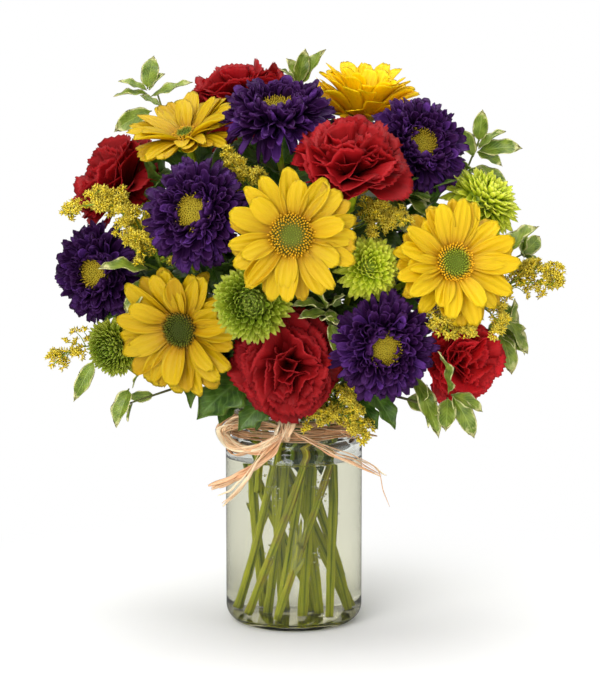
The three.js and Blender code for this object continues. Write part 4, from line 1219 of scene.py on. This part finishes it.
def floret():
    """One tiny open floret facing +Z: five pointed rays round a small centre, two millimetres across."""
    one = Shape()
    for c, s in circle(5):
        side = 0.3
        points = [(0, 0, 0.35), (0.55 * c - side * s, 0.55 * s + side * c, 0.62),
                  (0.55 * c + side * s, 0.55 * s - side * c, 0.62), (1.05 * c, 1.05 * s, 0.95)]
        one.add(points, [np.array([[0, 1, 2], [1, 3, 2], [0, 3, 1], [0, 2, 3]])],
                [[0.3, 0.5, 0.5, 0], [0.7, 0, 0.5, 0], [0.7, 1, 0.5, 0], [1, 0.5, 0.5, 0]])
    points = [(0, 0, -0.5), (0.32, 0, 0.4), (-0.16, 0.28, 0.4), (-0.16, -0.28, 0.4), (0, 0, 0.85)]
    one.add(points, [np.array([[0, 2, 1], [0, 3, 2], [0, 1, 3], [4, 1, 2], [4, 2, 3], [4, 3, 1]])],
            [[0, 0.5, 0.5, 0], [0.4, 0, 0.5, 0], [0.4, 0, 0.5, 0], [0.4, 0, 0.5, 0], [0.9, 0, 0.5, 0]])
    return one


GREEN = 0.8  # the ring mark of a goldenrod's stem and twigs


def make_goldenrod(name, plan, number, s):
    ring, slot, slack, foot, via, plumes = plan
    rng = np.random.default_rng(600 + number)
    shape, seed = Shape(), floret()
    main = smooth_path(lower_points(ring, slot, foot, slack, 1.5) + list(floats(via)), 70)
    add_tube(shape, main, np.linspace(1.5, 0.9, 70), circle(8), ring=GREEN)
    seed_points, seed_marks = np.concatenate(seed.points), np.concatenate(seed.marks)
    for at, start, tip, spread in plumes:
        start, tip = floats(start), floats(tip)
        near = main[int(at * 69)]
        sag = np.array([0, 0, -0.1 * np.linalg.norm(tip - start)])
        axis = smooth_path([near, start * 0.6 + near * 0.4, start, (start + tip) / 2 - 0.6 * sag, tip + sag], 60)
        add_tube(shape, axis, np.linspace(0.9, 0.35, 60), circle(6), ring=GREEN)
        tangent = tangents(axis)
        from_start = int(np.argmin(np.linalg.norm(axis - start, axis=1)))
        places, facing = [], []
        for b in range(s.branchlets):
            i = from_start + int((59 - from_start) * (b + 0.3) / s.branchlets)
            side = unit(np.cross(tangent[i], rng.normal(0, 1, 3)))
            turn = Matrix.Rotation(GOLDEN * b + number, 3, Vector(tangent[i])) @ Vector(side)
            out = unit(np.array(turn) * 0.9 + tangent[i] * 0.55 + [0, 0, 0.25])
            length = s.spread * spread * rng.uniform(0.75, 1.25) * (1.15 - 0.65 * b / s.branchlets)
            twig = smooth_path([axis[i], axis[i] + out * length * 0.5 + [0, 0, 1.0],
                                axis[i] + out * length + [0, 0, -0.6]], 9)
            add_tube(shape, twig, np.linspace(0.4, 0.2, 9), circle(5), ring=GREEN)
            for j in (3, 6, 8):  # every twig ends in a cluster, and has others at some of the places below it
                if j < 8 and rng.random() < 0.4:
                    continue
                for _ in range(s.cluster):
                    jitter = unit(rng.normal(0, 1, 3) + out * 0.4 + [0, 0, 0.4]) * rng.uniform(0.9, 1.7)
                    places.append(twig[j] + jitter)
                    facing.append(unit(jitter + [0, 0, 0.5]))
        for i in range(max(from_start, 50), 60, 3):
            for _ in range(4):
                jitter = unit(rng.normal(0, 1, 3)) * 1.3
                places.append(axis[i] + jitter)
                facing.append(unit(jitter + tangent[i]))
        for place, face in zip(places, facing):
            z = Vector(face)
            x = z.cross(Vector((0.3, 0.5, 0.8))).normalized()
            m = np.array(Matrix((x, z.cross(x), z)).transposed()) * rng.uniform(1.9, 2.9)
            marks = seed_marks.copy()
            marks[:, 2] = rng.random()
            shape.add(seed_points @ m.T + place, seed.faces, marks)
    shape.piece(name + "_florets", goldenrod_floret(), "goldenrod", name)


# ---- Pittosporum ----


def make_pittosporum(name, plan, number, s):
    ring, slot, slack, foot, crotch, twigs = plan
    rng = np.random.default_rng(700 + number)
    wood, leaves = Shape(), Shape()
    crotch = floats(crotch)
    add_tube(wood, smooth_path(lower_points(ring, slot, foot, slack, 1.8) + [crotch], 50), np.linspace(1.9, 1.5, 50),
             circle(10))
    for twig, n in twigs:
        path = smooth_path([crotch, *floats(twig)], 60)
        add_tube(wood, path, np.linspace(1.3, 0.55, 60), circle(8))
        tangent = tangents(path)
        n = max(1, round(n * s.leaves))
        for k in range(n):  # on a leafy twig the last five crowd at the tip
            t = 0.42 + 0.52 * (k + 1) / (n - 4) if k < n - 5 else (0.985 if n > 8 else 0.6 + 0.35 * (k + 1) / n)
            i = int(min(t, 0.985) * 59)
            side = unit(np.cross(tangent[i], [0.2, 0.1, 1.0]))
            turn = np.array(Matrix.Rotation(GOLDEN * k + number, 3, Vector(tangent[i])) @ Vector(side))
            along = unit(turn + tangent[i] * (0.9 if k >= n - 5 else 0.55))
            size = s.leaf_length / MM * rng.uniform(0.75, 1.15) * (0.75 if k >= n - 2 else 1.0)
            if clear_of_heads(path[i] + along * size * np.array([[0.5], [1.0]])):
                add_leaf(leaves, rng, path[i], along, tangent[i], size, size * rng.uniform(0.46, 0.58), "oval",
                         rng.uniform(-1.0, -0.1))
    add_placed_leaves(leaves, rng, EDGED_LEAVES.get(name, []), "oval", -0.6)
    wood.piece(name + "_twigs", woody_twig(), "pittosporum", name)
    leaves.piece(name + "_leaves", variegated_leaf(), "pittosporum")


# ---- Jar and water ----


def arc(cx, cz, r, a0, a1, steps):
    a = np.radians(np.linspace(a0, a1, steps + 1))
    return [(cx + r * math.cos(x), cz + r * math.sin(x)) for x in a]


def spin(name, outline, segments, material, slot, node):
    """Turns an outline of (radius, height) points about +Z, as on a wheel."""
    mesh = bpy.data.meshes.new(name)
    mesh.from_pydata([(r * MM, 0, z * MM) for r, z in outline], [(i, i + 1) for i in range(len(outline) - 1)], [])
    obj = linked(name, mesh)
    select_only(obj)
    bpy.ops.object.mode_set(mode="EDIT")
    bpy.ops.mesh.select_all(action="SELECT")
    bpy.ops.mesh.spin(steps=segments, angle=2 * math.pi, center=(0, 0, 0), axis=(0, 0, 1))
    bpy.ops.mesh.select_all(action="SELECT")
    bpy.ops.mesh.remove_doubles(threshold=1e-6)
    bpy.ops.mesh.normals_make_consistent(inside=False)
    bpy.ops.object.mode_set(mode="OBJECT")
    settle(obj, material, slot, node)


def make_jar():
    """Rows close to the ends of the straight walls keep their smooth shading level."""
    outer, inner, top = JAR_HIGH[0], JAR_HIGH[0] - WALL, JAR_HIGH[2]
    outline = [(0, 1.4), (20, 1.2), (27, 0.7), (30, 0.12), (33.5, 0)] + arc(33.5, 11, 11, -85, 0, 14)
    outline += [(outer, z) for z in (12, 30, 60, 90, 108, 113, 114.5)] + arc(outer - 6, 115.5, 6, 8, 66, 8)
    outline += [(NECK + 0.5, 122.0), (NECK, 122.9), (NECK, 126)] + arc(NECK - 0.1, 127.4, 0.9, -60, 60, 6)
    outline += [(NECK, 129), (NECK, 137)] + arc(NECK - 0.3, 139.8, 1.55, -70, 80, 10)
    outline += arc(NECK - 1.6, top - 1.5, 1.5, 40, 160, 8) + [(NECK - WALL, top - 2.5), (NECK - WALL, 124)]
    outline += [(NECK - WALL + 0.6, 121.8), (inner - 2.0, 117.5), (inner - 0.5, 114)]
    outline += [(inner, z) for z in (110.5, 109.6, 106, 60, 16)] + arc(inner - 7.8, 5 + 7.8, 7.8, 0, -90, 12)
    outline += [(20, 5.1), (10, 5.5), (0, 5.6)]
    glass = clear_finish("jar glass", 0.02, 1.5, 9, (0.94, 0.965, 0.945), (0.97, 0.985, 0.965), 28, 2, 0.12, 0.0012)
    spin("jar_glass", outline, 112, glass, "jar_glass", "jar")


def make_water():
    """The water reaches a little into the glass, so that no gap of air shows between them."""
    inner = JAR_HIGH[0] - WALL + 0.12
    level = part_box("water")[1][2] / MM
    outline = [(0, 5.45), (10, 5.38), (20, 4.98)] + arc(inner - 7.9, 4.88 + 7.9, 7.9, -90, 0, 12)
    outline += [(inner, z) for z in (16, 60, level - 4, level - 1.2, level - 0.4)]
    outline += [(inner - 0.5, level - 0.15), (inner - 1.4, level - 0.75), (inner - 3, level - 0.95),
                (20, level - 1.0), (0, level - 1.0)]
    water = clear_finish("water", 0.0, 1.333, 6, (0.855, 0.81, 0.66), (0.885, 0.85, 0.72), 14, 1, 0.02, 0.0008)
    spin("jar_water", outline, 96, water, "water", "water")


# Where bubbles gather: the middle, the spread each way and how many.
BUBBLE_CLUSTERS = [((-13, -22, 92), (2.2, 3, 7), 34), ((15, -24, 94), (2.2, 3, 7), 26),
                   ((-14, -20, 46), (1.5, 3, 3), 12), ((13, -22, 46), (1.5, 3, 3), 12)]


def make_bubbles():
    """Small air bubbles that cling to the stems in the water."""
    rng = np.random.default_rng(901)
    shape = Shape()
    low = [lower_points(plan.ring, plan.slot, None, plan.slack, HEADS[plan.end].kind.stem)
           for plan in STEMS.values() if plan.foot is None]
    spots = []
    for _ in range(60):
        foot, _, mouth = low[int(rng.integers(len(low)))]
        angle = rng.uniform(0, TURN)
        off = np.array([math.cos(angle), math.sin(angle), 0]) * 2.7
        spots.append(foot + (mouth - foot) * rng.uniform(0.1, 0.7) + off)
    for middle, spread, count in BUBBLE_CLUSTERS:
        spots += list(np.array(middle) + rng.normal(0, 1, (count, 3)) * np.array(spread))
    for spot in spots:
        if spot[2] > 106 or np.linalg.norm(spot[:2]) > 38:  # outside the water
            continue
        r = rng.uniform(0.3, 0.85)
        ball = [(r * math.sin(x), -r * math.cos(x)) for x in np.linspace(0, math.pi, 7)]
        add_turned(shape, [(0, -r)] + ball[1:-1] + [(0, r)], 8, matrix=Matrix.Translation(Vector(spot)))
    air = clear_finish("air bubble", 0.02, 1.4, 50, (0.97, 0.99, 0.97), (1.0, 1.0, 1.0))
    shape.piece("air_bubbles", air, "water")


# ---- Raffia ----

RAFFIA_KNOT = np.array([-6.5, -45.2, 134.0])
STRIP = np.array([(-1, 0.1), (-0.55, 0.5), (0, 0.22), (0.55, 0.5), (1, 0.1), (0.5, -0.3), (0, -0.5), (-0.5, -0.3)])
BOW = [(-6, -46, 135), (-20, -47, 139), (-36, -40, 138), (-46, -28, 131), (-38, -40, 122), (-22, -49, 123),
       (-7, -47, 132)]
# Two tails to the left, a stub and a long one to the right: the points each goes through, its strands and their width.
TAILS = [
    ([(-6, -47, 134), (-12, -50, 122), (-26, -52, 110), (-40, -52, 103), (-54, -50, 97)], 7, 3.6),
    ([(-8, -47, 133), (-20, -51, 119), (-30, -54, 104), (-38, -53, 94), (-46, -50, 86)], 5, 2.8),
    ([(0, -47, 134), (16, -45.5, 133), (30, -36, 131), (42, -30, 128), (51, -26, 126)], 5, 3.2),
    ([(-4, -47, 135), (6, -49, 130), (22, -49, 122), (42, -46, 112), (60, -41, 103)], 6, 3.0),
]
TAIL_SPREAD = np.array([0, 1.0, 1.4, 1.8, 2.4])
FINE_STRAND = [(-4, -47, 135), (10, -49, 127), (30, -49, 121), (52, -43, 108), (58, -40, 92), (62, -38, 83)]


def add_strand(shape, rng, path, width, thick, twist=0.0, fray=0.0, first=None):
    """One strip of straw: a thin creased band that narrows at its end by its fray."""
    t = np.linspace(0, 1, len(path))
    half = width / 2 * (1 + 0.2 * np.sin(t * rng.uniform(8, 14) + rng.uniform(0, 6)))
    half = half * (1 - fray * np.clip((t - 0.85) / 0.15, 0, 1) ** 2)
    add_tube(shape, path, half, STRIP * [1.0, thick / (width / 2)], twist=twist, chance=rng.random(), first=first)


def crinkle(rng, path, size):
    """Small kinks along a strip, as dried leaf has."""
    t = np.linspace(0, 1, len(path))[:, None]
    kinks = sum(rng.normal(0, size / (k + 1), (1, 3)) * np.sin(t * (k + 1) * 7 + rng.uniform(0, 6)) for k in range(4))
    return path + kinks * np.clip(t * 4, 0, 1)


def make_raffia(s):
    rng = np.random.default_rng(801)
    shape = Shape()
    half = s.strands // 2  # wide strips lie underneath and narrow ones over them
    for k in range(s.strands):
        low = 125.2 + 13.0 * (k % half + 0.5) / half
        a = np.linspace(-98, 262, 97) * math.pi / 180
        wavy = 0.9 * np.sin(a * rng.integers(1, 4) + rng.uniform(0, 6)) + 0.3 * np.sin(7 * a + rng.uniform(0, 6))
        radius = NECK + 0.8 + (1.3 if k >= half else 0) + rng.uniform(0, 0.9)
        radius = radius + 0.3 * np.sin(3 * a + rng.uniform(0, 6))
        path = np.stack([radius * np.cos(a), radius * np.sin(a), low + wavy], 1)
        width = rng.uniform(5.0, 7.0) if k < half else rng.uniform(2.4, 4.6)
        add_strand(shape, rng, path, width, 0.4, first=(0, 0, 1))
    for _ in range(11):  # the knot's turns
        a = np.linspace(0, 2 * math.pi * 1.05, 26) + rng.uniform(0, 6)
        tilt = rng.normal(0, 0.3)
        x = rng.uniform(-5.0, 5.0) + 1.0 * np.sin(a * 2)
        loop = np.stack([x + tilt * 5 * np.cos(a), -4.7 * np.sin(a) * rng.uniform(0.85, 1.05),
                         5.9 * np.cos(a) * rng.uniform(0.9, 1.08)], 1)
        add_strand(shape, rng, loop + RAFFIA_KNOT, rng.uniform(2.6, 4.0), 0.45, first=(1, 0, 0))
    for _ in range(12):
        bow = [p + rng.normal(0, [1.8, 0.9, 2.0]) * (0 < i < len(BOW) - 1) for i, p in enumerate(floats(BOW))]
        add_strand(shape, rng, crinkle(rng, smooth_path(bow, 60), 0.5), rng.uniform(2.8, 5.0), 0.4,
                   rng.normal(0, 0.8))
    for points, count, width in TAILS:
        for _ in range(count):
            away = rng.normal(0, 1.0, 3) * np.array([0.8, 0.6, 1.0])
            path = smooth_path(floats(points) + away * TAIL_SPREAD[:, None], 56)
            path = crinkle(rng, path, 0.7)[: int(rng.integers(46, 57))]
            add_strand(shape, rng, path, width * rng.uniform(0.45, 0.95), 0.35, rng.normal(0, 1.2), fray=0.6)
    add_strand(shape, rng, crinkle(rng, smooth_path(FINE_STRAND, 60), 0.4), 0.9, 0.3, 1.0, fray=0.6)
    shape.piece("raffia_hank", raffia_straw(), "raffia", "raffia_tie")


# ---- Stage ----

CAMERA_TARGET, CAMERA_AWAY, CAMERA_RISE = Vector((0.004, 0, 0.1785)), 1.5, math.radians(8)
LAMPS_TARGET = Vector((0, 0, 0.2))


def aim(obj, target):
    obj.rotation_euler = (target - obj.location).to_track_quat("-Z", "Y").to_euler()


def make_floor():
    """A pale floor that turns to plain white away from the jar, and is dim in mirror images, as in the glass."""
    bpy.ops.object.select_all(action="DESELECT")
    bpy.ops.mesh.primitive_circle_add(vertices=96, radius=30, fill_type="NGON", location=(0, 0, 0))
    floor = bpy.context.object
    floor.name = "studio_floor"
    f = Finish("pale floor", 0.75)
    mirrored = (f.ray("Glossy Depth") > 0.5) * (f.ray("Diffuse Depth") < 0.5)
    f.base(f.mix(f.noise(3, 1), (0.93, 0.93, 0.93), (0.94, 0.94, 0.94)))
    f.over(mirrored * 0.85, (0.05, 0.05, 0.05))
    floor.data.materials.append(f.done())
    away = f.node("VectorMath", {0: f.place()}, "Value", operation="LENGTH")
    seen = f.ray("Is Camera Ray").most(f.ray("Is Transmission Ray") * (1 - mirrored) * 0.85)
    white = f.node("Emission", {"Color": (1.0, 1.0, 1.0), "Strength": 1.0})
    both = f.node("MixShader", {"Fac": f.fade(away, 0.12, 0.32, mode="EASE") * seen,
                                1: Value(f, f.shader.outputs[0]), 2: white})
    f.tree.links.new(both.socket, f.tree.nodes["Material Output"].inputs["Surface"])


def make_room(s):
    """Soft light from all round: dimmer in front, brighter behind, and white to the camera. What stands in the jar
    gets more of it from the left."""
    world = bpy.data.worlds.new("white studio")
    bpy.context.scene.world = world
    world.use_nodes = True
    w = Nodes(world.node_tree)
    way = w.place("Generated")
    room = w.ramp(w.part(way, 1) * 0.5 + 0.5, (0.3, s.ambient, s.ambient, s.ambient),
                  (0.62, s.backdrop, s.backdrop, 0.96 * s.backdrop))
    through = w.ray("Is Transmission Ray")
    light = w.mix(through * 0.6, room, (0.86, 0.85, 0.8))
    beside = (w.part(way, 0) * -1).most(-0.3) * 3 + 1.4
    lit = through * (w.ray("Diffuse Depth") > 0.5)
    gain = lit * (beside - 1) + 1
    light = w.mix(1.0, light, w.node("CombineColor", {"Red": gain, "Green": gain, "Blue": gain}), "MULTIPLY")
    colour = w.mix(w.ray("Is Camera Ray"), light, (1.0, 1.0, 1.0))
    w.tree.links.new(colour.socket, w.tree.nodes["Background"].inputs["Color"])
    w.tree.nodes["Background"].inputs["Strength"].default_value = 1.0


def make_stage(s):
    make_floor()
    make_room(s)
    for name, place, size, power in (("key softbox", (-0.6, -1.35, 1.0), 1.1, s.key),
                                     ("fill softbox", (1.3, -1.0, 0.5), 1.0, s.fill),
                                     ("low softbox", (-0.35, -1.3, 0.3), 0.7, s.low),
                                     ("top softbox", (-0.05, 0.0, 1.5), 1.2, s.top)):
        light = bpy.data.lights.new(name, "AREA")
        light.size, light.energy = size, power
        lamp = linked(name, light)
        lamp.location = place
        lamp.visible_glossy = name != "low softbox"
        aim(lamp, LAMPS_TARGET)
    data = bpy.data.cameras.new("photo view")
    data.lens, data.sensor_width, data.sensor_fit = 118.7, 36, "AUTO"
    data.clip_start, data.clip_end = 0.05, 100
    camera = linked("photo view", data)
    camera.location = CAMERA_TARGET + CAMERA_AWAY * Vector((0, -math.cos(CAMERA_RISE), math.sin(CAMERA_RISE)))
    aim(camera, CAMERA_TARGET)
    bpy.context.scene.camera = camera
    view = bpy.context.scene.view_settings
    view.view_transform, view.look, view.exposure = "Standard", "None", s.exposure


# ---- Add-on ----


class DaisySettings(bpy.types.PropertyGroup):
    petals: IntProperty(name="Petals", description="Ray petals in the front layer", default=17, min=8)
    petal_width: FloatProperty(name="Petal width", description="Widest part of a petal", default=0.0128,
                               unit="LENGTH")
    groove: FloatProperty(name="Groove", description="Depth of the grooves along a petal", default=0.00028,
                          unit="LENGTH")


class AsterSettings(bpy.types.PropertyGroup):
    petals: IntProperty(name="Petals", description="Petals in each head", default=230, min=20)
    petal_width: FloatProperty(name="Petal width", description="Widest part of a petal", default=0.0062,
                               unit="LENGTH")
    eye: FloatProperty(name="Eye", description="Across the yellow disc", default=0.0205, unit="LENGTH")


class CarnationSettings(bpy.types.PropertyGroup):
    ruffle: FloatProperty(name="Ruffle", description="How far the edge swings up and down", default=0.0042,
                          unit="LENGTH")
    fringe: FloatProperty(name="Fringe", description="Depth of the teeth, as a share of the petal", default=0.055)


class ButtonSettings(bpy.types.PropertyGroup):
    petals: IntProperty(name="Petals", description="Quilled petals in each head", default=210, min=40)
    petal_width: FloatProperty(name="Petal width", description="Width of a middle petal", default=0.0024,
                               unit="LENGTH")


class GoldenrodSettings(bpy.types.PropertyGroup):
    branchlets: IntProperty(name="Branchlets", description="Side branches on each plume", default=10)
    cluster: IntProperty(name="Cluster", description="Florets in each cluster on a branchlet", default=4)
    spread: FloatProperty(name="Spread", description="Branchlet length against the frame's plume", default=1.45)


class PittosporumSettings(bpy.types.PropertyGroup):
    leaves: FloatProperty(name="Leaves", description="Leaves against the usual number", default=1.0)
    leaf_length: FloatProperty(name="Leaf length", description="Length of a leaf", default=0.0225,
                               unit="LENGTH")


class RaffiaSettings(bpy.types.PropertyGroup):
    strands: IntProperty(name="Strands", description="Strips of straw round the neck", default=22)


class StudioSettings(bpy.types.PropertyGroup):
    ambient: FloatProperty(name="Ambient", description="Light from the room in front", default=0.3)
    backdrop: FloatProperty(name="Backdrop", description="Light from the pale paper behind", default=0.72)
    key: FloatProperty(name="Key light", description="Power of the key softbox", default=18.0, unit="POWER")
    fill: FloatProperty(name="Fill light", description="Power of the fill softbox", default=5.0, unit="POWER")
    low: FloatProperty(name="Low light", description="Power of the low softbox", default=6.0, unit="POWER")
    top: FloatProperty(name="Top light", description="Power of the top softbox", default=14.0, unit="POWER")
    exposure: FloatProperty(name="Exposure", description="Stops added to the picture", default=0.0)


class BouquetOperator:
    bl_options = {"REGISTER", "UNDO"}


class OBJECT_OT_bouquet_jar(BouquetOperator, bpy.types.Operator):
    """Make the glass jar"""

    bl_idname = "object.bouquet_jar"
    bl_label = "Jar"

    def execute(self, context):
        make_jar()
        return {"FINISHED"}


class OBJECT_OT_bouquet_water(BouquetOperator, bpy.types.Operator):
    """Fill the jar with water, with air bubbles on the stems"""

    bl_idname = "object.bouquet_water"
    bl_label = "Water"

    def execute(self, context):
        make_water()
        make_bubbles()
        return {"FINISHED"}


class OBJECT_OT_bouquet_raffia(BouquetOperator, bpy.types.Operator):
    """Tie the hank of raffia round the jar's neck"""

    bl_idname = "object.bouquet_raffia"
    bl_label = "Raffia Tie"

    def execute(self, context):
        make_raffia(context.scene.bouquet_raffia)
        return {"FINISHED"}


class OBJECT_OT_bouquet_daisies(BouquetOperator, bpy.types.Operator):
    """Make the daisy chrysanthemums in their places"""

    bl_idname = "object.bouquet_daisies"
    bl_label = "Daisies"

    def execute(self, context):
        make_heads("daisy", make_daisy, context.scene.bouquet_daisies)
        return {"FINISHED"}


class OBJECT_OT_bouquet_asters(BouquetOperator, bpy.types.Operator):
    """Make the asters in their places"""

    bl_idname = "object.bouquet_asters"
    bl_label = "Asters"

    def execute(self, context):
        make_heads("aster", make_aster, context.scene.bouquet_asters)
        return {"FINISHED"}


class OBJECT_OT_bouquet_carnations(BouquetOperator, bpy.types.Operator):
    """Make the carnations in their places"""

    bl_idname = "object.bouquet_carnations"
    bl_label = "Carnations"

    def execute(self, context):
        make_heads("carnation", make_carnation, context.scene.bouquet_carnations)
        return {"FINISHED"}


class OBJECT_OT_bouquet_buttons(BouquetOperator, bpy.types.Operator):
    """Make the button chrysanthemums in their places"""

    bl_idname = "object.bouquet_buttons"
    bl_label = "Button Chrysanthemums"

    def execute(self, context):
        make_heads("button", make_button, context.scene.bouquet_buttons)
        return {"FINISHED"}


class OBJECT_OT_bouquet_stems(BouquetOperator, bpy.types.Operator):
    """Run the cut stems with their leaves from the jar to the heads"""

    bl_idname = "object.bouquet_stems"
    bl_label = "Stems"

    def execute(self, context):
        for number, (name, plan) in enumerate(STEMS.items()):
            make_stem(name, plan, number)
        return {"FINISHED"}


class OBJECT_OT_bouquet_goldenrod(BouquetOperator, bpy.types.Operator):
    """Make the goldenrod"""

    bl_idname = "object.bouquet_goldenrod"
    bl_label = "Goldenrod"

    def execute(self, context):
        for number, (name, plan) in enumerate(GOLDENRODS.items()):
            make_goldenrod(name, plan, number, context.scene.bouquet_goldenrod)
        return {"FINISHED"}


class OBJECT_OT_bouquet_pittosporum(BouquetOperator, bpy.types.Operator):
    """Make the variegated pittosporum"""

    bl_idname = "object.bouquet_pittosporum"
    bl_label = "Pittosporum"

    def execute(self, context):
        for number, (name, plan) in enumerate(PITTOSPORUMS.items()):
            make_pittosporum(name, plan, number, context.scene.bouquet_pittosporum)
        return {"FINISHED"}


class OBJECT_OT_bouquet_stage(BouquetOperator, bpy.types.Operator):
    """Set the floor, the lights and the camera"""

    bl_idname = "object.bouquet_stage"
    bl_label = "Studio"

    def execute(self, context):
        make_stage(context.scene.bouquet_studio)
        return {"FINISHED"}


OPERATORS = [OBJECT_OT_bouquet_jar, OBJECT_OT_bouquet_water, OBJECT_OT_bouquet_raffia, OBJECT_OT_bouquet_daisies,
             OBJECT_OT_bouquet_asters, OBJECT_OT_bouquet_carnations, OBJECT_OT_bouquet_buttons,
             OBJECT_OT_bouquet_stems, OBJECT_OT_bouquet_goldenrod, OBJECT_OT_bouquet_pittosporum,
             OBJECT_OT_bouquet_stage]
SETTINGS = {"bouquet_daisies": DaisySettings, "bouquet_asters": AsterSettings,
            "bouquet_carnations": CarnationSettings, "bouquet_buttons": ButtonSettings,
            "bouquet_goldenrod": GoldenrodSettings, "bouquet_pittosporum": PittosporumSettings,
            "bouquet_raffia": RaffiaSettings, "bouquet_studio": StudioSettings}


class VIEW3D_PT_bouquet(bpy.types.Panel):
    bl_label = "Chrysanthemums in a Jar"
    bl_space_type = "VIEW_3D"
    bl_region_type = "UI"
    bl_category = "Bouquet"

    def draw(self, context):
        for operator in OPERATORS:
            self.layout.operator(operator.bl_idname)
        for name in SETTINGS:
            box = self.layout.box()
            group = getattr(context.scene, name)
            for key in group.bl_rna.properties.keys():
                if key not in ("rna_type", "name"):
                    box.prop(group, key)


def register():
    for cls in [*SETTINGS.values(), *OPERATORS, VIEW3D_PT_bouquet]:
        bpy.utils.register_class(cls)
    for name, cls in SETTINGS.items():
        setattr(bpy.types.Scene, name, PointerProperty(type=cls))


def unregister():
    for name in SETTINGS:
        delattr(bpy.types.Scene, name)
    for cls in reversed([*SETTINGS.values(), *OPERATORS, VIEW3D_PT_bouquet]):
        bpy.utils.unregister_class(cls)


def main():
    register()
    bpy.ops.object.bouquet_jar()
    bpy.ops.object.bouquet_water()
    bpy.ops.object.bouquet_raffia()
    bpy.ops.object.bouquet_daisies()
    bpy.ops.object.bouquet_asters()
    bpy.ops.object.bouquet_carnations()
    bpy.ops.object.bouquet_buttons()
    bpy.ops.object.bouquet_stems()
    bpy.ops.object.bouquet_goldenrod()
    bpy.ops.object.bouquet_pittosporum()
    bpy.ops.object.bouquet_stage()
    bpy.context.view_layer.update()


if __name__ == "__main__":
    main()
